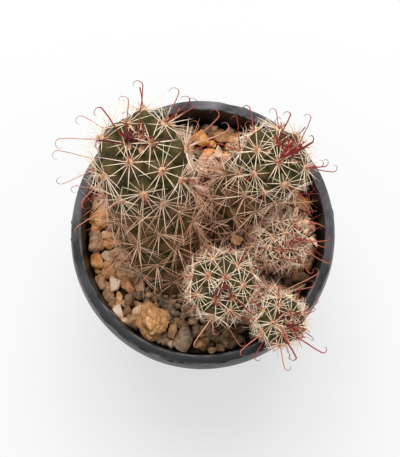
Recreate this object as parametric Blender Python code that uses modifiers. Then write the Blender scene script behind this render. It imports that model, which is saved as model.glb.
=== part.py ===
"""Potted fishhook pincushion cactus: five spiny stems in a round black nursery pot with a gravel top.

Metres, +Z up. The origin is the middle of the pot's underside, which stands on z = 0, and -Y is the front.
"""

import math

import bmesh
import bpy
import numpy as np
from mathutils import Matrix, Vector

# Pot: a thin moulded shell with a flat flange and a skirt turned down round it, which flares a little. It is
# soft, and has been pressed a little oval, so that it is longer from front to back.
POT_HEIGHT = 0.085
RIM_RADIUS = 0.050
RIM_WIDTH = 0.0036
RIM_THICKNESS = 0.0014
SKIRT_DEPTH = 0.009
SKIRT_FLARE = 0.0009
WALL = 0.0012
FOOT_RADIUS = 0.0375
FLOOR_THICKNESS = 0.0016
CHANNEL_RISE = 0.0022
HUB_RADIUS = 0.011
CHANNEL_RADIUS = 0.029
DRAIN_HOLES = 6
DRAIN_RADIUS = 0.0035
POT_SEGMENTS = 48
OVAL = 1.02

# Filling: potting soil, and on it a bed of gravel, whose pebbles lie in rings of (radius, count). A pebble's
# half sizes lie between the two given, and its middle between the two rises from the bed's top.
GAP = 0.0003
SOIL_TOP = 0.062
GRAVEL_TOP = 0.0705
PEBBLE_RINGS = ((0.0390, 27), (0.0302, 20), (0.0210, 12))
PEBBLE_SMALLEST = (0.0034, 0.0031, 0.0028)
PEBBLE_LARGEST = (0.0044, 0.0040, 0.0036)
PEBBLE_RISE = (-0.0007, 0.0004)
PEBBLE_SEED = 11

# Stems: the length that is buried, the taper of its end, and the room round it in its plain hole, over which a
# funnel clears the lowest tubercles.
BURIED = 0.0125
ROOT_RADIUS_SHARE = 0.8
HOLE_ROOM = 0.0004
HOLE_SEGMENTS = 12
FUNNEL = 0.012

# A stem ends in a dome, as high as this share of its radius, with this power in its curve. Tubercles stand out
# by this share of their spacing, and round the crown each has a smaller cell. None is as low as the gravel.
DOME_HEIGHT = 0.78
DOME_POWER = 2.3
TUBERCLE_RELIEF = 0.27
CROWN_CELL = 0.22
GOLDEN_ANGLE = math.pi * (3 - math.sqrt(5))
LOWEST_AREOLE = GRAVEL_TOP + 0.0050
NET_SQUEEZE = 0.62

# Spines: their radii at the root, how far the root is sunk, and the room they keep to other pieces.
SPINE_RADIUS = 0.00020
HOOK_RADIUS = 0.00027
SPINE_ROOT = 0.0009
RADIAL_LENGTH = 0.92
HOOK_BEND = 0.068
CLEARANCE = 0.0007

# Each stem: where it leaves the gravel, how it leans there, its crown and which way the crown faces, its radius
# over the tubercles, the neck's radius at the gravel, the share of its length over which it swells to the full
# radius, the distance between areoles, the hand of their spiral and its first turn in degrees, the spines
# modelled at each areole, the length of a hooked central spine, and how far down from the crown those are
# modelled.
STEMS = {
    "stem_tall": dict(foot=(-0.0145, -0.0094), lean=(-0.16, 0.56, 1.0), crown=(-0.0234, 0.0247, 0.1300),
                      facing=(-0.09, 0.246, 0.966), radius=0.0168, neck=0.0112, swell=0.42, spacing=0.0112,
                      hand=1, first_turn=68, radials=4, hook=0.0185, hook_depth=0.33, seed=3),
    "stem_back": dict(foot=(0.0065, 0.0056), lean=(0.42, 0.36, 1.0), crown=(0.0302, 0.0255, 0.1110),
                      facing=(0.42, 0.242, 0.875), radius=0.0131, neck=0.0082, swell=0.42, spacing=0.0085,
                      hand=-1, first_turn=68, radials=2, hook=0.0140, hook_depth=0.30, seed=5),
    "stem_front": dict(foot=(0.0054, -0.0192), lean=(0.05, -0.10, 1.0), crown=(0.0081, -0.0246, 0.1040),
                       facing=(0.10, -0.30, 0.95), radius=0.0121, neck=0.0062, swell=0.56, spacing=0.0071,
                       hand=1, first_turn=40, radials=2, hook=0.0120, hook_depth=0.30, seed=7),
    "stem_corner": dict(foot=(0.0230, -0.0246), lean=(-0.04, -0.06, 1.0), crown=(0.0312, -0.0386, 0.1050),
                        facing=(0.50, -0.38, 0.97), radius=0.0098, neck=0.0048, swell=0.98, spacing=0.0058,
                        hand=-1, first_turn=270, radials=2, hook=0.0125, hook_depth=0.30, seed=9),
    "stem_small": dict(foot=(0.0230, -0.0046), lean=(0.26, -0.02, 1.0), crown=(0.0326, -0.0059, 0.0962),
                       facing=(0.44, -0.156, 0.885), radius=0.0088, neck=0.0058, swell=0.50, spacing=0.0049,
                       hand=-1, first_turn=324, radials=2, hook=0.0105, hook_depth=0.28, seed=13),
}

# Hooked spines that the photo shows plainly: the areole's number from the crown down, the point in millimetres
# where the straight part ends, and the way in which the hook then turns, in degrees from +X towards +Y. Other
# areoles get theirs by a seeded rule.
HOOKS_SEEN = {
    "stem_tall": (
        (0, (-20.9, 41.3, 144.4), 180), (1, (-36.3, 20.7, 147.0), 270), (1, (-35.1, 32.3, 147.2), 225),
        (2, (-12.7, 22.3, 144.0), 120), (3, (-26.1, 37.3, 139.3), 180), (5, (-8.3, 39.6, 140.2), 180),
        (5, (-4.6, 36.6, 139.6), 180), (5, (-2.0, 34.8, 141.1), 160), (6, (-50.8, 23.9, 135.9), 260),
        (9, (-42.4, 2.2, 132.3), 270), (10, (-1.5, 29.7, 129.0), 150), (10, (5.6, 32.9, 130.8), 150),
        (10, (8.6, 28.2, 129.2), 115), (11, (-44.3, 38.0, 112.8), 240), (14, (-51.0, 11.7, 116.1), 200),
        (17, (-44.7, -6.3, 128.0), 250), (19, (-54.3, 27.5, 101.8), 265), (27, (-47.2, 14.5, 99.8), 180),
    ),
    "stem_back": (
        (1, (39.4, 25.2, 125.1), 100), (2, (31.6, 35.4, 125.4), 180), (3, (39.2, 35.3, 121.4), 170),
        (4, (33.1, 21.7, 129.1), 100), (5, (26.8, 39.6, 114.7), 180), (6, (44.9, 18.7, 114.0), 90),
        (6, (47.8, 16.5, 114.4), 90), (7, (13.7, 27.6, 129.0), 200), (10, (17.3, 41.8, 110.8), 180),
        (15, (12.3, 36.1, 119.1), 220), (15, (4.9, 28.1, 111.4), 200),
    ),
    "stem_front": (
        (2, (17.8, -35.2, 110.8), 30), (5, (19.9, -25.7, 112.8), 60), (8, (16.0, -11.8, 111.8), 160),
        (12, (-3.4, -44.7, 99.2), 0), (12, (3.8, -40.5, 98.2), 0), (20, (14.1, -44.3, 88.1), 20),
    ),
    "stem_corner": (
        (0, (35.3, -38.5, 115.0), 120), (3, (33.4, -51.2, 114.0), 180), (5, (43.3, -48.9, 108.5), 60),
        (7, (41.9, -30.2, 107.0), 90), (8, (29.7, -54.2, 103.8), 0), (11, (13.5, -48.0, 106.7), 290),
        (16, (19.0, -49.1, 95.4), 350), (33, (43.2, -17.4, 91.3), 100), (33, (41.3, -22.2, 90.5), 90),
    ),
    "stem_small": (
        (5, (46.3, -6.6, 101.7), 90), (8, (39.5, -18.4, 97.9), 60), (9, (30.0, -10.2, 100.0), 20),
        (13, (47.2, -13.2, 89.0), 30), (18, (45.9, -6.9, 87.5), 40),
    ),
}

# Stones that stand out of the gravel: place on the bed, half sizes, turn in degrees, colour.
STONES = {
    "ochre_stone": dict(at=(-0.0194, -0.0331), half=(0.0065, 0.0054, 0.0050), turn=-50, seed=21,
                        colour=(0.60, 0.32, 0.09)),
    "grey_stone": dict(at=(-0.0073, -0.0405), half=(0.0036, 0.0042, 0.0034), turn=15, seed=22,
                       colour=(0.30, 0.25, 0.20)),
    "amber_stone": dict(at=(-0.0008, 0.0389), half=(0.0040, 0.0030, 0.0032), turn=-20, seed=23,
                        colour=(0.62, 0.30, 0.07)),
    "orange_stone": dict(at=(-0.0395, 0.0076), half=(0.0033, 0.0037, 0.0033), turn=30, seed=24,
                         colour=(0.66, 0.30, 0.09)),
}


def clear_scene():
    for old in list(bpy.data.objects):
        bpy.data.objects.remove(old, do_unlink=True)


def collection_of(name, hidden=False):
    made = bpy.data.collections.new(name)
    bpy.context.scene.collection.children.link(made)
    made.hide_render = hidden
    return made


def material_of(name, colour, roughness, metallic=0.0):
    made = bpy.data.materials.new(name)
    made.use_nodes = True
    shader = made.node_tree.nodes["Principled BSDF"]
    shader.inputs["Base Color"].default_value = (*colour, 1.0)
    shader.inputs["Roughness"].default_value = roughness
    shader.inputs["Metallic"].default_value = metallic
    return made


def object_of(name, mesh, collection, material=None):
    made = bpy.data.objects.new(name, mesh)
    collection.objects.link(made)
    if material:
        mesh.materials.append(material)
    return made


def mesh_from(build, name):
    """A mesh whose bmesh the function build fills in."""
    work = bmesh.new()
    build(work)
    mesh = bpy.data.meshes.new(name)
    work.to_mesh(mesh)
    work.free()
    return mesh


def as_cutter(obj):
    obj.hide_render = True
    obj.display_type = "WIRE"
    return obj


def apply_modifiers(obj):
    """The object's evaluated mesh becomes its mesh, and its modifiers go."""
    bpy.context.view_layer.update()
    graph = bpy.context.evaluated_depsgraph_get()
    mesh = bpy.data.meshes.new_from_object(obj.evaluated_get(graph))
    materials = [m for m in obj.data.materials]
    obj.modifiers.clear()
    obj.data = mesh
    if not mesh.materials:
        for material in materials:
            mesh.materials.append(material)


def boolean(obj, collection, operation, solver="EXACT"):
    """Joins or cuts obj with all of a collection's objects at once, and applies it."""
    modifier = obj.modifiers.new(operation.lower(), "BOOLEAN")
    modifier.operation = operation
    modifier.operand_type = "COLLECTION"
    modifier.collection = collection
    modifier.solver = solver
    apply_modifiers(obj)
    for used in list(collection.objects):
        bpy.data.objects.remove(used, do_unlink=True)


def turned(name, profile, collection, material, segments=POT_SEGMENTS):
    """A solid turned about Z from an open profile whose two ends lie on the axis, then pressed oval."""
    mesh = bpy.data.meshes.new(name)
    edges = [(i, i + 1) for i in range(len(profile) - 1)]
    mesh.from_pydata([(r, 0.0, z) for r, z in profile], edges, [])
    made = object_of(name, mesh, collection, material)
    screw = made.modifiers.new("turn", "SCREW")
    screw.axis = "Z"
    screw.steps = screw.render_steps = segments
    screw.use_merge_vertices = True
    screw.merge_threshold = 0.00001
    apply_modifiers(made)
    made.data.transform(Matrix.Diagonal((1.0, OVAL, 1.0, 1.0)))
    return made


def wall_radius(z):
    """Inner radius of the pot's tapered wall at height z, across its narrower way."""
    top = RIM_RADIUS - RIM_WIDTH
    foot = FOOT_RADIUS - WALL
    return foot + (top - foot) * z / POT_HEIGHT


def make_pot(parts, cutters, material):
    """The pot's profile runs from the middle of its floor up the inside, over the flange and down outside."""
    underflange = POT_HEIGHT - RIM_THICKNESS
    skirt_inside = RIM_RADIUS - RIM_THICKNESS
    floor_z = CHANNEL_RISE + FLOOR_THICKNESS
    bevel = 0.0005
    profile = [
        (0.0, floor_z),
        (wall_radius(floor_z), floor_z),
        (wall_radius(POT_HEIGHT - bevel), POT_HEIGHT - bevel),
        (wall_radius(POT_HEIGHT) + bevel, POT_HEIGHT),
        (RIM_RADIUS - bevel, POT_HEIGHT),
        (RIM_RADIUS, POT_HEIGHT - bevel),
        (RIM_RADIUS + SKIRT_FLARE, POT_HEIGHT - SKIRT_DEPTH),
        (skirt_inside + SKIRT_FLARE, POT_HEIGHT - SKIRT_DEPTH),
        (skirt_inside, underflange),
        (wall_radius(underflange) + WALL, underflange),
        (FOOT_RADIUS, 0.0),
        (CHANNEL_RADIUS + CHANNEL_RISE, 0.0),
        (CHANNEL_RADIUS, CHANNEL_RISE),
        (HUB_RADIUS + CHANNEL_RISE, CHANNEL_RISE),
        (HUB_RADIUS, 0.0),
        (0.0, 0.0),
    ]
    pot = turned("pot", profile, parts, material)
    ring = (CHANNEL_RADIUS + HUB_RADIUS + CHANNEL_RISE) / 2
    for i in range(DRAIN_HOLES):
        turn = 2 * math.pi * (i + 0.5) / DRAIN_HOLES
        place = Matrix.Translation((ring * math.cos(turn), ring * math.sin(turn), floor_z / 2))

        def drill(work, place=place):
            bmesh.ops.create_cone(work, cap_ends=True, segments=8, radius1=DRAIN_RADIUS, radius2=DRAIN_RADIUS,
                                  depth=3 * floor_z, matrix=place)

        as_cutter(object_of(f"drain_cutter_{i}", mesh_from(drill, "drain"), cutters))
    boolean(pot, cutters, "DIFFERENCE")
    return pot


def unit(v):
    return v / np.linalg.norm(v)


class Stem:
    """A stem's shape: a bent axis, a radius along it, and areoles in golden-angle order from the crown down."""

    def __init__(self, foot, lean, crown, facing, radius, neck, swell, spacing, hand, first_turn, radials, hook,
                 hook_depth, seed):
        self.spacing, self.radials, self.seed = spacing, radials, seed
        self.hand, self.first_turn = hand, math.radians(first_turn)
        self.hook, self.hook_depth = hook, hook_depth
        self.relief = TUBERCLE_RELIEF * spacing
        self.bulk = radius - self.relief
        self.neck, self.swell = neck, swell
        self._axis(np.array([*foot, GRAVEL_TOP]), unit(np.array(lean)), np.array(crown), unit(np.array(facing)))
        self._profile()
        self._areoles()

    def _axis(self, foot, lean, crown, facing):
        """The axis is straight where it is buried, then a cubic curve that ends facing the crown's way."""
        reach = np.linalg.norm(crown - foot) / 3
        t = np.linspace(0, 1, 160)[:, None]
        ends = [foot, foot + lean * reach, crown - facing * reach, crown]
        curve = sum(k * (1 - t) ** (3 - i) * t**i * p for i, (k, p) in enumerate(zip((1, 3, 3, 1), ends)))
        self.points = np.vstack([foot - lean * BURIED, curve])
        steps = np.linalg.norm(np.diff(self.points, axis=0), axis=1)
        self.along = np.concatenate([[0], np.cumsum(steps)])
        self.length = self.along[-1]
        self.lean, self.foot = lean, foot
        tangents = np.gradient(self.points, self.along, axis=0)
        self.tangents = tangents / np.linalg.norm(tangents, axis=1)[:, None]
        side = unit(np.cross([0.0, 1.0, 0.0], self.tangents[0]))
        sides = []
        for tangent in self.tangents:
            side = unit(side - tangent * (side @ tangent))
            sides.append(side)
        self.sides = np.array(sides)

    def _radius(self, a):
        """Radius of the valleys between tubercles, at the distance a from the buried end."""
        dome = DOME_HEIGHT * self.bulk
        grown = np.clip((a - BURIED) / (self.swell * self.length), 0, 1)
        grown = grown * grown * (3 - 2 * grown)
        body = self.neck + (self.bulk - self.neck) * grown
        up = np.clip((a - (self.length - dome)) / dome, 0, 1)
        return body * (1 - up**DOME_POWER) ** (1 / DOME_POWER)

    def _profile(self):
        """Samples of the profile from the crown down: axial place, radius, outward slope and area so far."""
        turn = np.linspace(0, np.pi / 2, 60)
        dome = DOME_HEIGHT * self.bulk
        top = self.length - dome * (1 - np.cos(turn))
        self.a = np.concatenate([top, np.linspace(self.length - dome, 0, 160)[1:]])
        self.r = self._radius(self.a)
        step = np.hypot(np.diff(self.a), np.diff(self.r))
        self.down = np.concatenate([[0], np.cumsum(step)])
        ring = math.pi * (self.r[1:] + self.r[:-1]) * step
        self.area = np.concatenate([[0], np.cumsum(ring)])
        inverse = 2 / np.maximum(self.r[1:] + self.r[:-1], 1e-5) * step
        self.stretch = np.concatenate([[0], np.cumsum(inverse)])
        slope = np.stack([np.gradient(self.r, self.down), np.gradient(self.a, self.down)], axis=1)
        self.slope = slope / np.linalg.norm(slope, axis=1)[:, None]

    def _areoles(self):
        """Areoles a golden angle apart, each given one cell of area, with smaller cells round the crown."""
        cell = 0.866 * self.spacing**2
        area, n, found = 0.5 * CROWN_CELL * cell, 0, []
        while area < self.area[-1]:
            down = np.interp(area, self.area, self.down)
            a, r = np.interp(down, self.down, self.a), np.interp(down, self.down, self.r)
            turn = self.first_turn + self.hand * n * GOLDEN_ANGLE
            if self.at(a, r, turn)[2] > LOWEST_AREOLE:
                found.append((down, turn))
            young = np.clip(down / (0.75 * self.bulk), 0, 1)
            area += cell * (CROWN_CELL + (1 - CROWN_CELL) * young * young * (3 - 2 * young))
            n += 1
        self.areoles = np.array(found)

    def at(self, a, radius, turn):
        """A point at the place a along the axis, at a distance from the axis and a turn round it."""
        a = np.clip(a, 0, self.length)
        centre = np.stack([np.interp(a, self.along, self.points[:, i]) for i in range(3)], axis=-1)
        side = np.stack([np.interp(a, self.along, self.sides[:, i]) for i in range(3)], axis=-1)
        tangent = np.stack([np.interp(a, self.along, self.tangents[:, i]) for i in range(3)], axis=-1)
        other = np.cross(tangent, side)
        radius = np.asarray(radius)[..., None]
        turn = np.asarray(turn)[..., None]
        return centre + radius * (np.cos(turn) * side + np.sin(turn) * other)

    def size_at(self, down):
        """Share of the full size that a tubercle and its spines have this far from the crown."""
        young = np.clip(down / (0.9 * self.bulk), 0, 1)
        return 0.30 + 0.70 * young * young * (3 - 2 * young)

    def frame_at(self, n):
        """Tip of tubercle n, its outward normal, the way round the stem, and the way up it."""
        down, turn = self.areoles[n]
        a = np.interp(down, self.down, self.a)
        r = np.interp(down, self.down, self.r)
        slope_r = np.interp(down, self.down, self.slope[:, 0])
        slope_a = np.interp(down, self.down, self.slope[:, 1])
        i = min(int(np.searchsorted(self.along, a)), len(self.along) - 1)
        tangent, side = self.tangents[i], self.sides[i]
        radial = math.cos(turn) * side + math.sin(turn) * np.cross(tangent, side)
        normal = unit(-slope_a * radial + slope_r * tangent)
        upward = unit(-slope_r * radial - slope_a * tangent)
        tip = self.at(a, r, turn) + (normal + 0.18 * upward) * self.relief * self.size_at(down)
        return tip, normal, np.cross(upward, normal), upward

    def distance_from(self, points):
        """How far points lie outside the stem's tubercles, below 0 inside."""
        axis = self.points[::4]
        reach = np.linalg.norm(points[:, None, :] - axis[None, :, :], axis=2)
        return (reach - self._radius(self.along[::4])[None, :]).min(axis=1) - self.relief


def stem_body(stem):
    """Tubercles as low six-sided cones. The areoles are spread over a ball by a map of the stem's skin that
    keeps its angles, squeezed so that a long stem's ends aren't crowded, and their convex hull there is the
    net of nearest neighbours. Each face of that net has a valley point in its middle, and each of its edges
    carries a face of the two cones that meet along it."""
    neck_down = np.interp(-BURIED * 1.02, -stem.a, stem.down)
    rings = [(neck_down, 8, 0.2), (stem.down[-1], 8, 0.0)]
    sites = [(down, turn, True) for down, turn in stem.areoles]
    for down, count, shift in rings:
        sites += [(down, 2 * math.pi * (k + shift) / count, False) for k in range(count)]
    stretch = np.array([np.interp(down, stem.down, stem.stretch) for down, _, _ in sites])
    polar = 2 * np.arctan(np.exp(NET_SQUEEZE * (stretch - np.median(stretch))))
    turns = np.array([turn for _, turn, _ in sites])
    ball = np.stack([np.sin(polar) * np.cos(turns), np.sin(polar) * np.sin(turns), np.cos(polar)], axis=1)

    net = bmesh.new()
    corners = [net.verts.new(p) for p in ball]
    net.verts.index_update()
    bmesh.ops.convex_hull(net, input=corners, use_existing_faces=False)
    net.verts.index_update()
    bmesh.ops.triangulate(net, faces=net.faces[:])
    net.faces.index_update()
    bmesh.ops.recalc_face_normals(net, faces=net.faces[:])

    flat = []
    for down, turn, _ in sites:
        a = np.interp(down, stem.down, stem.a)
        r = np.interp(down, stem.down, stem.r)
        flat.append((r * math.cos(turn), r * math.sin(turn), a))
    flat = np.array(flat)
    tips = []
    for n, (down, turn, raised) in enumerate(sites):
        if raised:
            tips.append(stem.frame_at(n)[0])
        else:
            share = ROOT_RADIUS_SHARE if down == stem.down[-1] else 1.0
            r = np.interp(down, stem.down, stem.r) * share
            tips.append(stem.at(np.interp(down, stem.down, stem.a), r, turn))
    valleys = []
    for face in net.faces:
        x, y, a = flat[[v.index for v in face.verts]].mean(axis=0)
        lowest = all(not sites[v.index][2] for v in face.verts)
        radius = math.hypot(x, y) if lowest else float(np.interp(-a, -stem.a, stem.r))
        valleys.append(stem.at(a, radius, math.atan2(y, x)))

    def build(work):
        peaks = [work.verts.new(p) for p in tips]
        lows = [work.verts.new(p) for p in valleys]
        for edge in net.edges:
            first, second = edge.link_loops
            for loop, other in ((first, second), (second, first)):
                work.faces.new([peaks[loop.vert.index], lows[other.face.index], lows[loop.face.index]])
        bmesh.ops.recalc_face_normals(work, faces=work.faces[:])

    mesh = mesh_from(build, "stem")
    net.free()
    return mesh


class Spines:
    """Accepts spines one by one, and refuses those that would touch another piece of the plant."""

    def __init__(self, stems):
        self.stems = stems
        self.starts, self.ends, self.owners = [], [], []

    def clear_of_pieces(self, path, owner):
        for name, stem in self.stems.items():
            if name != owner and stem.distance_from(path).min() < CLEARANCE:
                return False
        out = np.hypot(path[:, 0], path[:, 1])
        low = path[:, 2]
        if ((low < GRAVEL_TOP + 0.0042) & (out < RIM_RADIUS)).any():
            return False
        near_rim = (out > wall_radius(POT_HEIGHT) - 0.0016) & (low < POT_HEIGHT + 0.0012)
        return not near_rim.any() and low.min() > 0.05

    def clear_of_spines(self, path, owner):
        others = [i for i, o in enumerate(self.owners) if o != owner]
        if not others:
            return True
        starts, ends = np.array(self.starts)[others], np.array(self.ends)[others]
        along = np.concatenate([np.linspace(p, q, 12, endpoint=False) for p, q in zip(path[:-1], path[1:])])
        along = np.vstack([along, path[-1:]])
        run = ends - starts
        share = np.einsum("ijk,jk->ij", along[:, None, :] - starts[None], run) / (run**2).sum(axis=1)
        nearest = starts[None] + np.clip(share, 0, 1)[..., None] * run[None]
        return np.linalg.norm(along[:, None, :] - nearest, axis=2).min() > CLEARANCE

    def accept(self, path, owner):
        sampled = np.vstack([np.linspace(p, q, 6) for p, q in zip(path[:-1], path[1:])])
        if not self.clear_of_pieces(sampled, owner) or not self.clear_of_spines(path, owner):
            return False
        for start, end in zip(path[:-1], path[1:]):
            self.starts.append(start)
            self.ends.append(end)
            self.owners.append(owner)
        return True


def straight_spine(tip, normal, around, up, turn, rise, length):
    """Root and point of a radial spine that fans out from its areole, a little off the skin."""
    fan = math.cos(turn) * around + math.sin(turn) * up
    way = math.cos(rise) * fan + math.sin(rise) * normal
    return np.array([tip - SPINE_ROOT * normal, tip - SPINE_ROOT * normal + way * (length + SPINE_ROOT)])


def hooked_spine(tip, way, bend, length, hook_radius):
    """A central spine: straight out of the areole, then turned back on itself at its tip like a fish-hook."""
    shaft_end = tip + (length - 2.6 * hook_radius) * way
    points = [tip - SPINE_ROOT * way, shaft_end]
    for turn in (65, 125, 175):
        angle = math.radians(turn)
        points.append(shaft_end + hook_radius * (math.sin(angle) * way + (1 - math.cos(angle)) * bend))
    return np.array(points)


def needle_object(path, radius, collection, name):
    """A straight three-sided needle along a two-point path."""
    start, end = Vector(path[0]), Vector(path[1])
    run = end - start
    turn = run.to_track_quat("Z", "Y").to_matrix().to_4x4()
    place = Matrix.Translation((start + end) / 2) @ turn

    def build(work):
        bmesh.ops.create_cone(work, cap_ends=True, segments=3, radius1=radius, radius2=0.0, depth=run.length,
                              matrix=place)
        bmesh.ops.recalc_face_normals(work, faces=work.faces[:])

    return as_cutter(object_of(name, mesh_from(build, name), collection))


def hook_section(collection):
    """The three-sided section that every hooked spine is swept with, one unit across."""
    curve = bpy.data.curves.new("hook_section", "CURVE")
    curve.dimensions = "2D"
    line = curve.splines.new("POLY")
    line.points.add(2)
    for point, k in zip(line.points, range(3)):
        turn = 2 * math.pi * k / 3
        point.co = (math.cos(turn), math.sin(turn), 0.0, 1.0)
    line.use_cyclic_u = True
    made = bpy.data.objects.new("hook_section", curve)
    collection.objects.link(made)
    return as_cutter(made)


def hook_object(path, radius, section, collection, name):
    """A tapering tube along the path, made a closed mesh so that it can be joined to its stem."""
    curve = bpy.data.curves.new(name, "CURVE")
    curve.dimensions = "3D"
    curve.bevel_mode = "OBJECT"
    curve.bevel_object = section
    curve.use_fill_caps = True
    line = curve.splines.new("POLY")
    line.points.add(len(path) - 1)
    for i, (point, place) in enumerate(zip(line.points, path)):
        point.co = (*place, 1.0)
        point.radius = radius * (1 - 0.6 * i / (len(path) - 1))
    swept = bpy.data.objects.new(name + "_curve", curve)
    collection.objects.link(swept)
    bpy.context.view_layer.update()
    graph = bpy.context.evaluated_depsgraph_get()
    mesh = bpy.data.meshes.new_from_object(swept.evaluated_get(graph))
    bpy.data.objects.remove(swept, do_unlink=True)
    work = bmesh.new()
    work.from_mesh(mesh)
    bmesh.ops.remove_doubles(work, verts=work.verts, dist=0.000002)
    bmesh.ops.recalc_face_normals(work, faces=work.faces[:])
    work.to_mesh(mesh)
    work.free()
    return as_cutter(object_of(name, mesh, collection))


def add_radials(stem, name, n, spines, collection):
    """The radial spines of areole n, evenly round it. One that would touch something is turned or cut."""
    tip, normal, around, up = stem.frame_at(n)
    size = stem.size_at(stem.areoles[n][0])
    draw = np.random.default_rng([stem.seed, n, 1])
    first = draw.uniform(0, 2 * math.pi)
    for k in range(stem.radials):
        turn = first + 2 * math.pi * k / stem.radials
        rise = math.radians(draw.uniform(14, 24))
        length = RADIAL_LENGTH * stem.spacing * size * draw.uniform(0.9, 1.1)
        for shift, cut in ((0, 1), (0.35, 1), (-0.35, 1), (0, 0.7), (0.5, 0.7)):
            path = straight_spine(tip, normal, around, up, turn + shift, rise, length * cut)
            if spines.accept(path, name):
                needle_object(path, SPINE_RADIUS, collection, f"{name}_spine_{n}_{k}")
                break


def seen_hook(tip, end, curl, hook_radius):
    """The path of a hooked spine whose straight part ends at a given point, and which then curls a given way."""
    run = np.array(end) / 1000 - tip
    way = unit(run)
    turn = math.radians(curl)
    bend = np.array([math.cos(turn), math.sin(turn), 0.0])
    bend = unit(bend - way * (bend @ way))
    return hooked_spine(tip, way, bend, np.linalg.norm(run) + 2.6 * hook_radius, hook_radius)


def central_paths(stem, name, spines):
    """Paths of the hooked central spines: those seen in the photo, and by a seeded rule one for each other young
    areole, which leans up the stem. One that would touch something is turned or left out."""
    paths = []
    hook_radius = HOOK_BEND * stem.hook
    for n, (down, _) in enumerate(stem.areoles):
        tip, normal, around, up = stem.frame_at(n)
        seen = [seen_hook(tip, end, curl, hook_radius) for k, end, curl in HOOKS_SEEN[name] if k == n]
        paths += [path for path in seen if spines.accept(path, name)]
        if seen or not 0.10 * stem.bulk < down < stem.hook_depth * stem.down[-1]:
            continue
        draw = np.random.default_rng([stem.seed, n, 2])
        sway, climb, roll, size = draw.uniform((-0.28, 0.0, -1.2, 0.85), (0.28, 0.45, 1.2, 1.1))
        length = stem.hook * size * min(1.0, 0.45 + 0.55 * down / (0.7 * stem.bulk))
        for shift in (0, 0.3, -0.3, 0.6, -0.6):
            way = unit(normal + (sway + shift) * around + climb * up)
            bend = unit(np.cross(np.cross(way, math.cos(roll) * up + math.sin(roll) * around), way))
            path = hooked_spine(tip, way, bend, length, hook_radius)
            if spines.accept(path, name):
                paths.append(path)
                break
    return paths


def make_stems(parts, material, stems):
    """Each stem's spines are gathered in a collection and joined to its body by one union."""
    spines = Spines(stems)
    helpers = collection_of("spines_to_join", hidden=True)
    section = hook_section(collection_of("sections", hidden=True))
    centrals = {name: central_paths(stem, name, spines) for name, stem in stems.items()}
    for name, stem in stems.items():
        body = object_of(name, stem_body(stem), parts, material)
        for k, path in enumerate(centrals[name]):
            hook_object(path, HOOK_RADIUS, section, helpers, f"{name}_hook_{k}")
        for n in range(len(stem.areoles)):
            add_radials(stem, name, n, spines, helpers)
        boolean(body, helpers, "UNION", "MANIFOLD")


def stem_holes(stems, cutters):
    """A plain round hole for each stem's buried end, and a funnel over it that clears its lowest tubercles."""
    for name, stem in stems.items():
        turn = Vector(stem.lean).to_track_quat("Z", "Y").to_matrix().to_4x4()
        narrow = (stem.neck + HOLE_ROOM) / math.cos(math.pi / HOLE_SEGMENTS)
        hole = (-BURIED - 0.004, narrow, 0.0008, narrow)
        swollen = float(stem._radius(np.array([BURIED + FUNNEL]))[0]) + stem.relief
        funnel = (-0.0006, narrow - 0.0003, FUNNEL, swollen + 3 * HOLE_ROOM)
        for low, tight, high, wide in (hole, funnel):
            place = Matrix.Translation(Vector(stem.foot + stem.lean * (low + high) / 2)) @ turn

            def drill(work, tight=tight, wide=wide, place=place, depth=high - low):
                bmesh.ops.create_cone(work, cap_ends=True, segments=HOLE_SEGMENTS, radius1=tight, radius2=wide,
                                      depth=depth, matrix=place)

            as_cutter(object_of(f"{name}_hole", mesh_from(drill, "hole"), cutters))


def filling(name, low, high, parts, material):
    """A plug that fills the pot from one height to another, a gap clear of the wall."""
    profile = [(0.0, high), (wall_radius(high) - GAP, high), (wall_radius(low) - GAP, low), (0.0, low)]
    return turned(name, profile, parts, material)


def pebble_mesh(draw, half):
    """A rough rounded pebble from a ball of twenty faces."""
    turn = Matrix.Rotation(draw.uniform(0, 2 * math.pi), 4, Vector(unit(draw.normal(size=3))))
    wobble = draw.uniform(0.86, 1.14, size=12)
    flip = Matrix.Rotation(draw.uniform(0, 2 * math.pi), 4, "Z")

    def build(work):
        bmesh.ops.create_icosphere(work, subdivisions=1, radius=1.0)
        for vertex, push in zip(work.verts, wobble):
            place = (turn @ vertex.co) * push
            vertex.co = flip @ Vector((place.x * half[0], place.y * half[1], place.z * half[2]))
        bmesh.ops.recalc_face_normals(work, faces=work.faces[:])

    return mesh_from(build, "pebble")


def make_gravel(parts, cutters, material, stems):
    """The bed is a disc with pebbles half sunk in its top, in rings with a seeded scatter."""
    bed = filling("gravel", SOIL_TOP + GAP, GRAVEL_TOP, parts, material)
    draw = np.random.default_rng(PEBBLE_SEED)
    pebbles = collection_of("pebbles_to_join", hidden=True)
    for ring, count in PEBBLE_RINGS:
        for k in range(count):
            half = draw.uniform(PEBBLE_SMALLEST, PEBBLE_LARGEST)
            turn = 2 * math.pi * (k + draw.uniform(-0.08, 0.08)) / count
            reach = ring + draw.uniform(-0.0008, 0.0006)
            x, y = reach * math.cos(turn), OVAL * reach * math.sin(turn)
            rise = draw.uniform(*PEBBLE_RISE)
            mesh = pebble_mesh(draw, half)
            by_stem = any(math.hypot(x - s.foot[0], y - s.foot[1]) < s.neck - 0.001 for s in stems.values())
            by_stone = any(math.hypot(x - s["at"][0], y - s["at"][1]) < 1.12 * max(s["half"][:2])
                           + 1.14 * max(half[:2]) for s in STONES.values())
            if by_stem or by_stone:
                continue
            pebble = as_cutter(object_of(f"pebble_{count}_{k}", mesh, pebbles))
            pebble.location = (x, y, GRAVEL_TOP + rise)
    boolean(bed, pebbles, "UNION", "MANIFOLD")
    stem_holes(stems, cutters)
    boolean(bed, cutters, "DIFFERENCE")
    return bed


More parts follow.
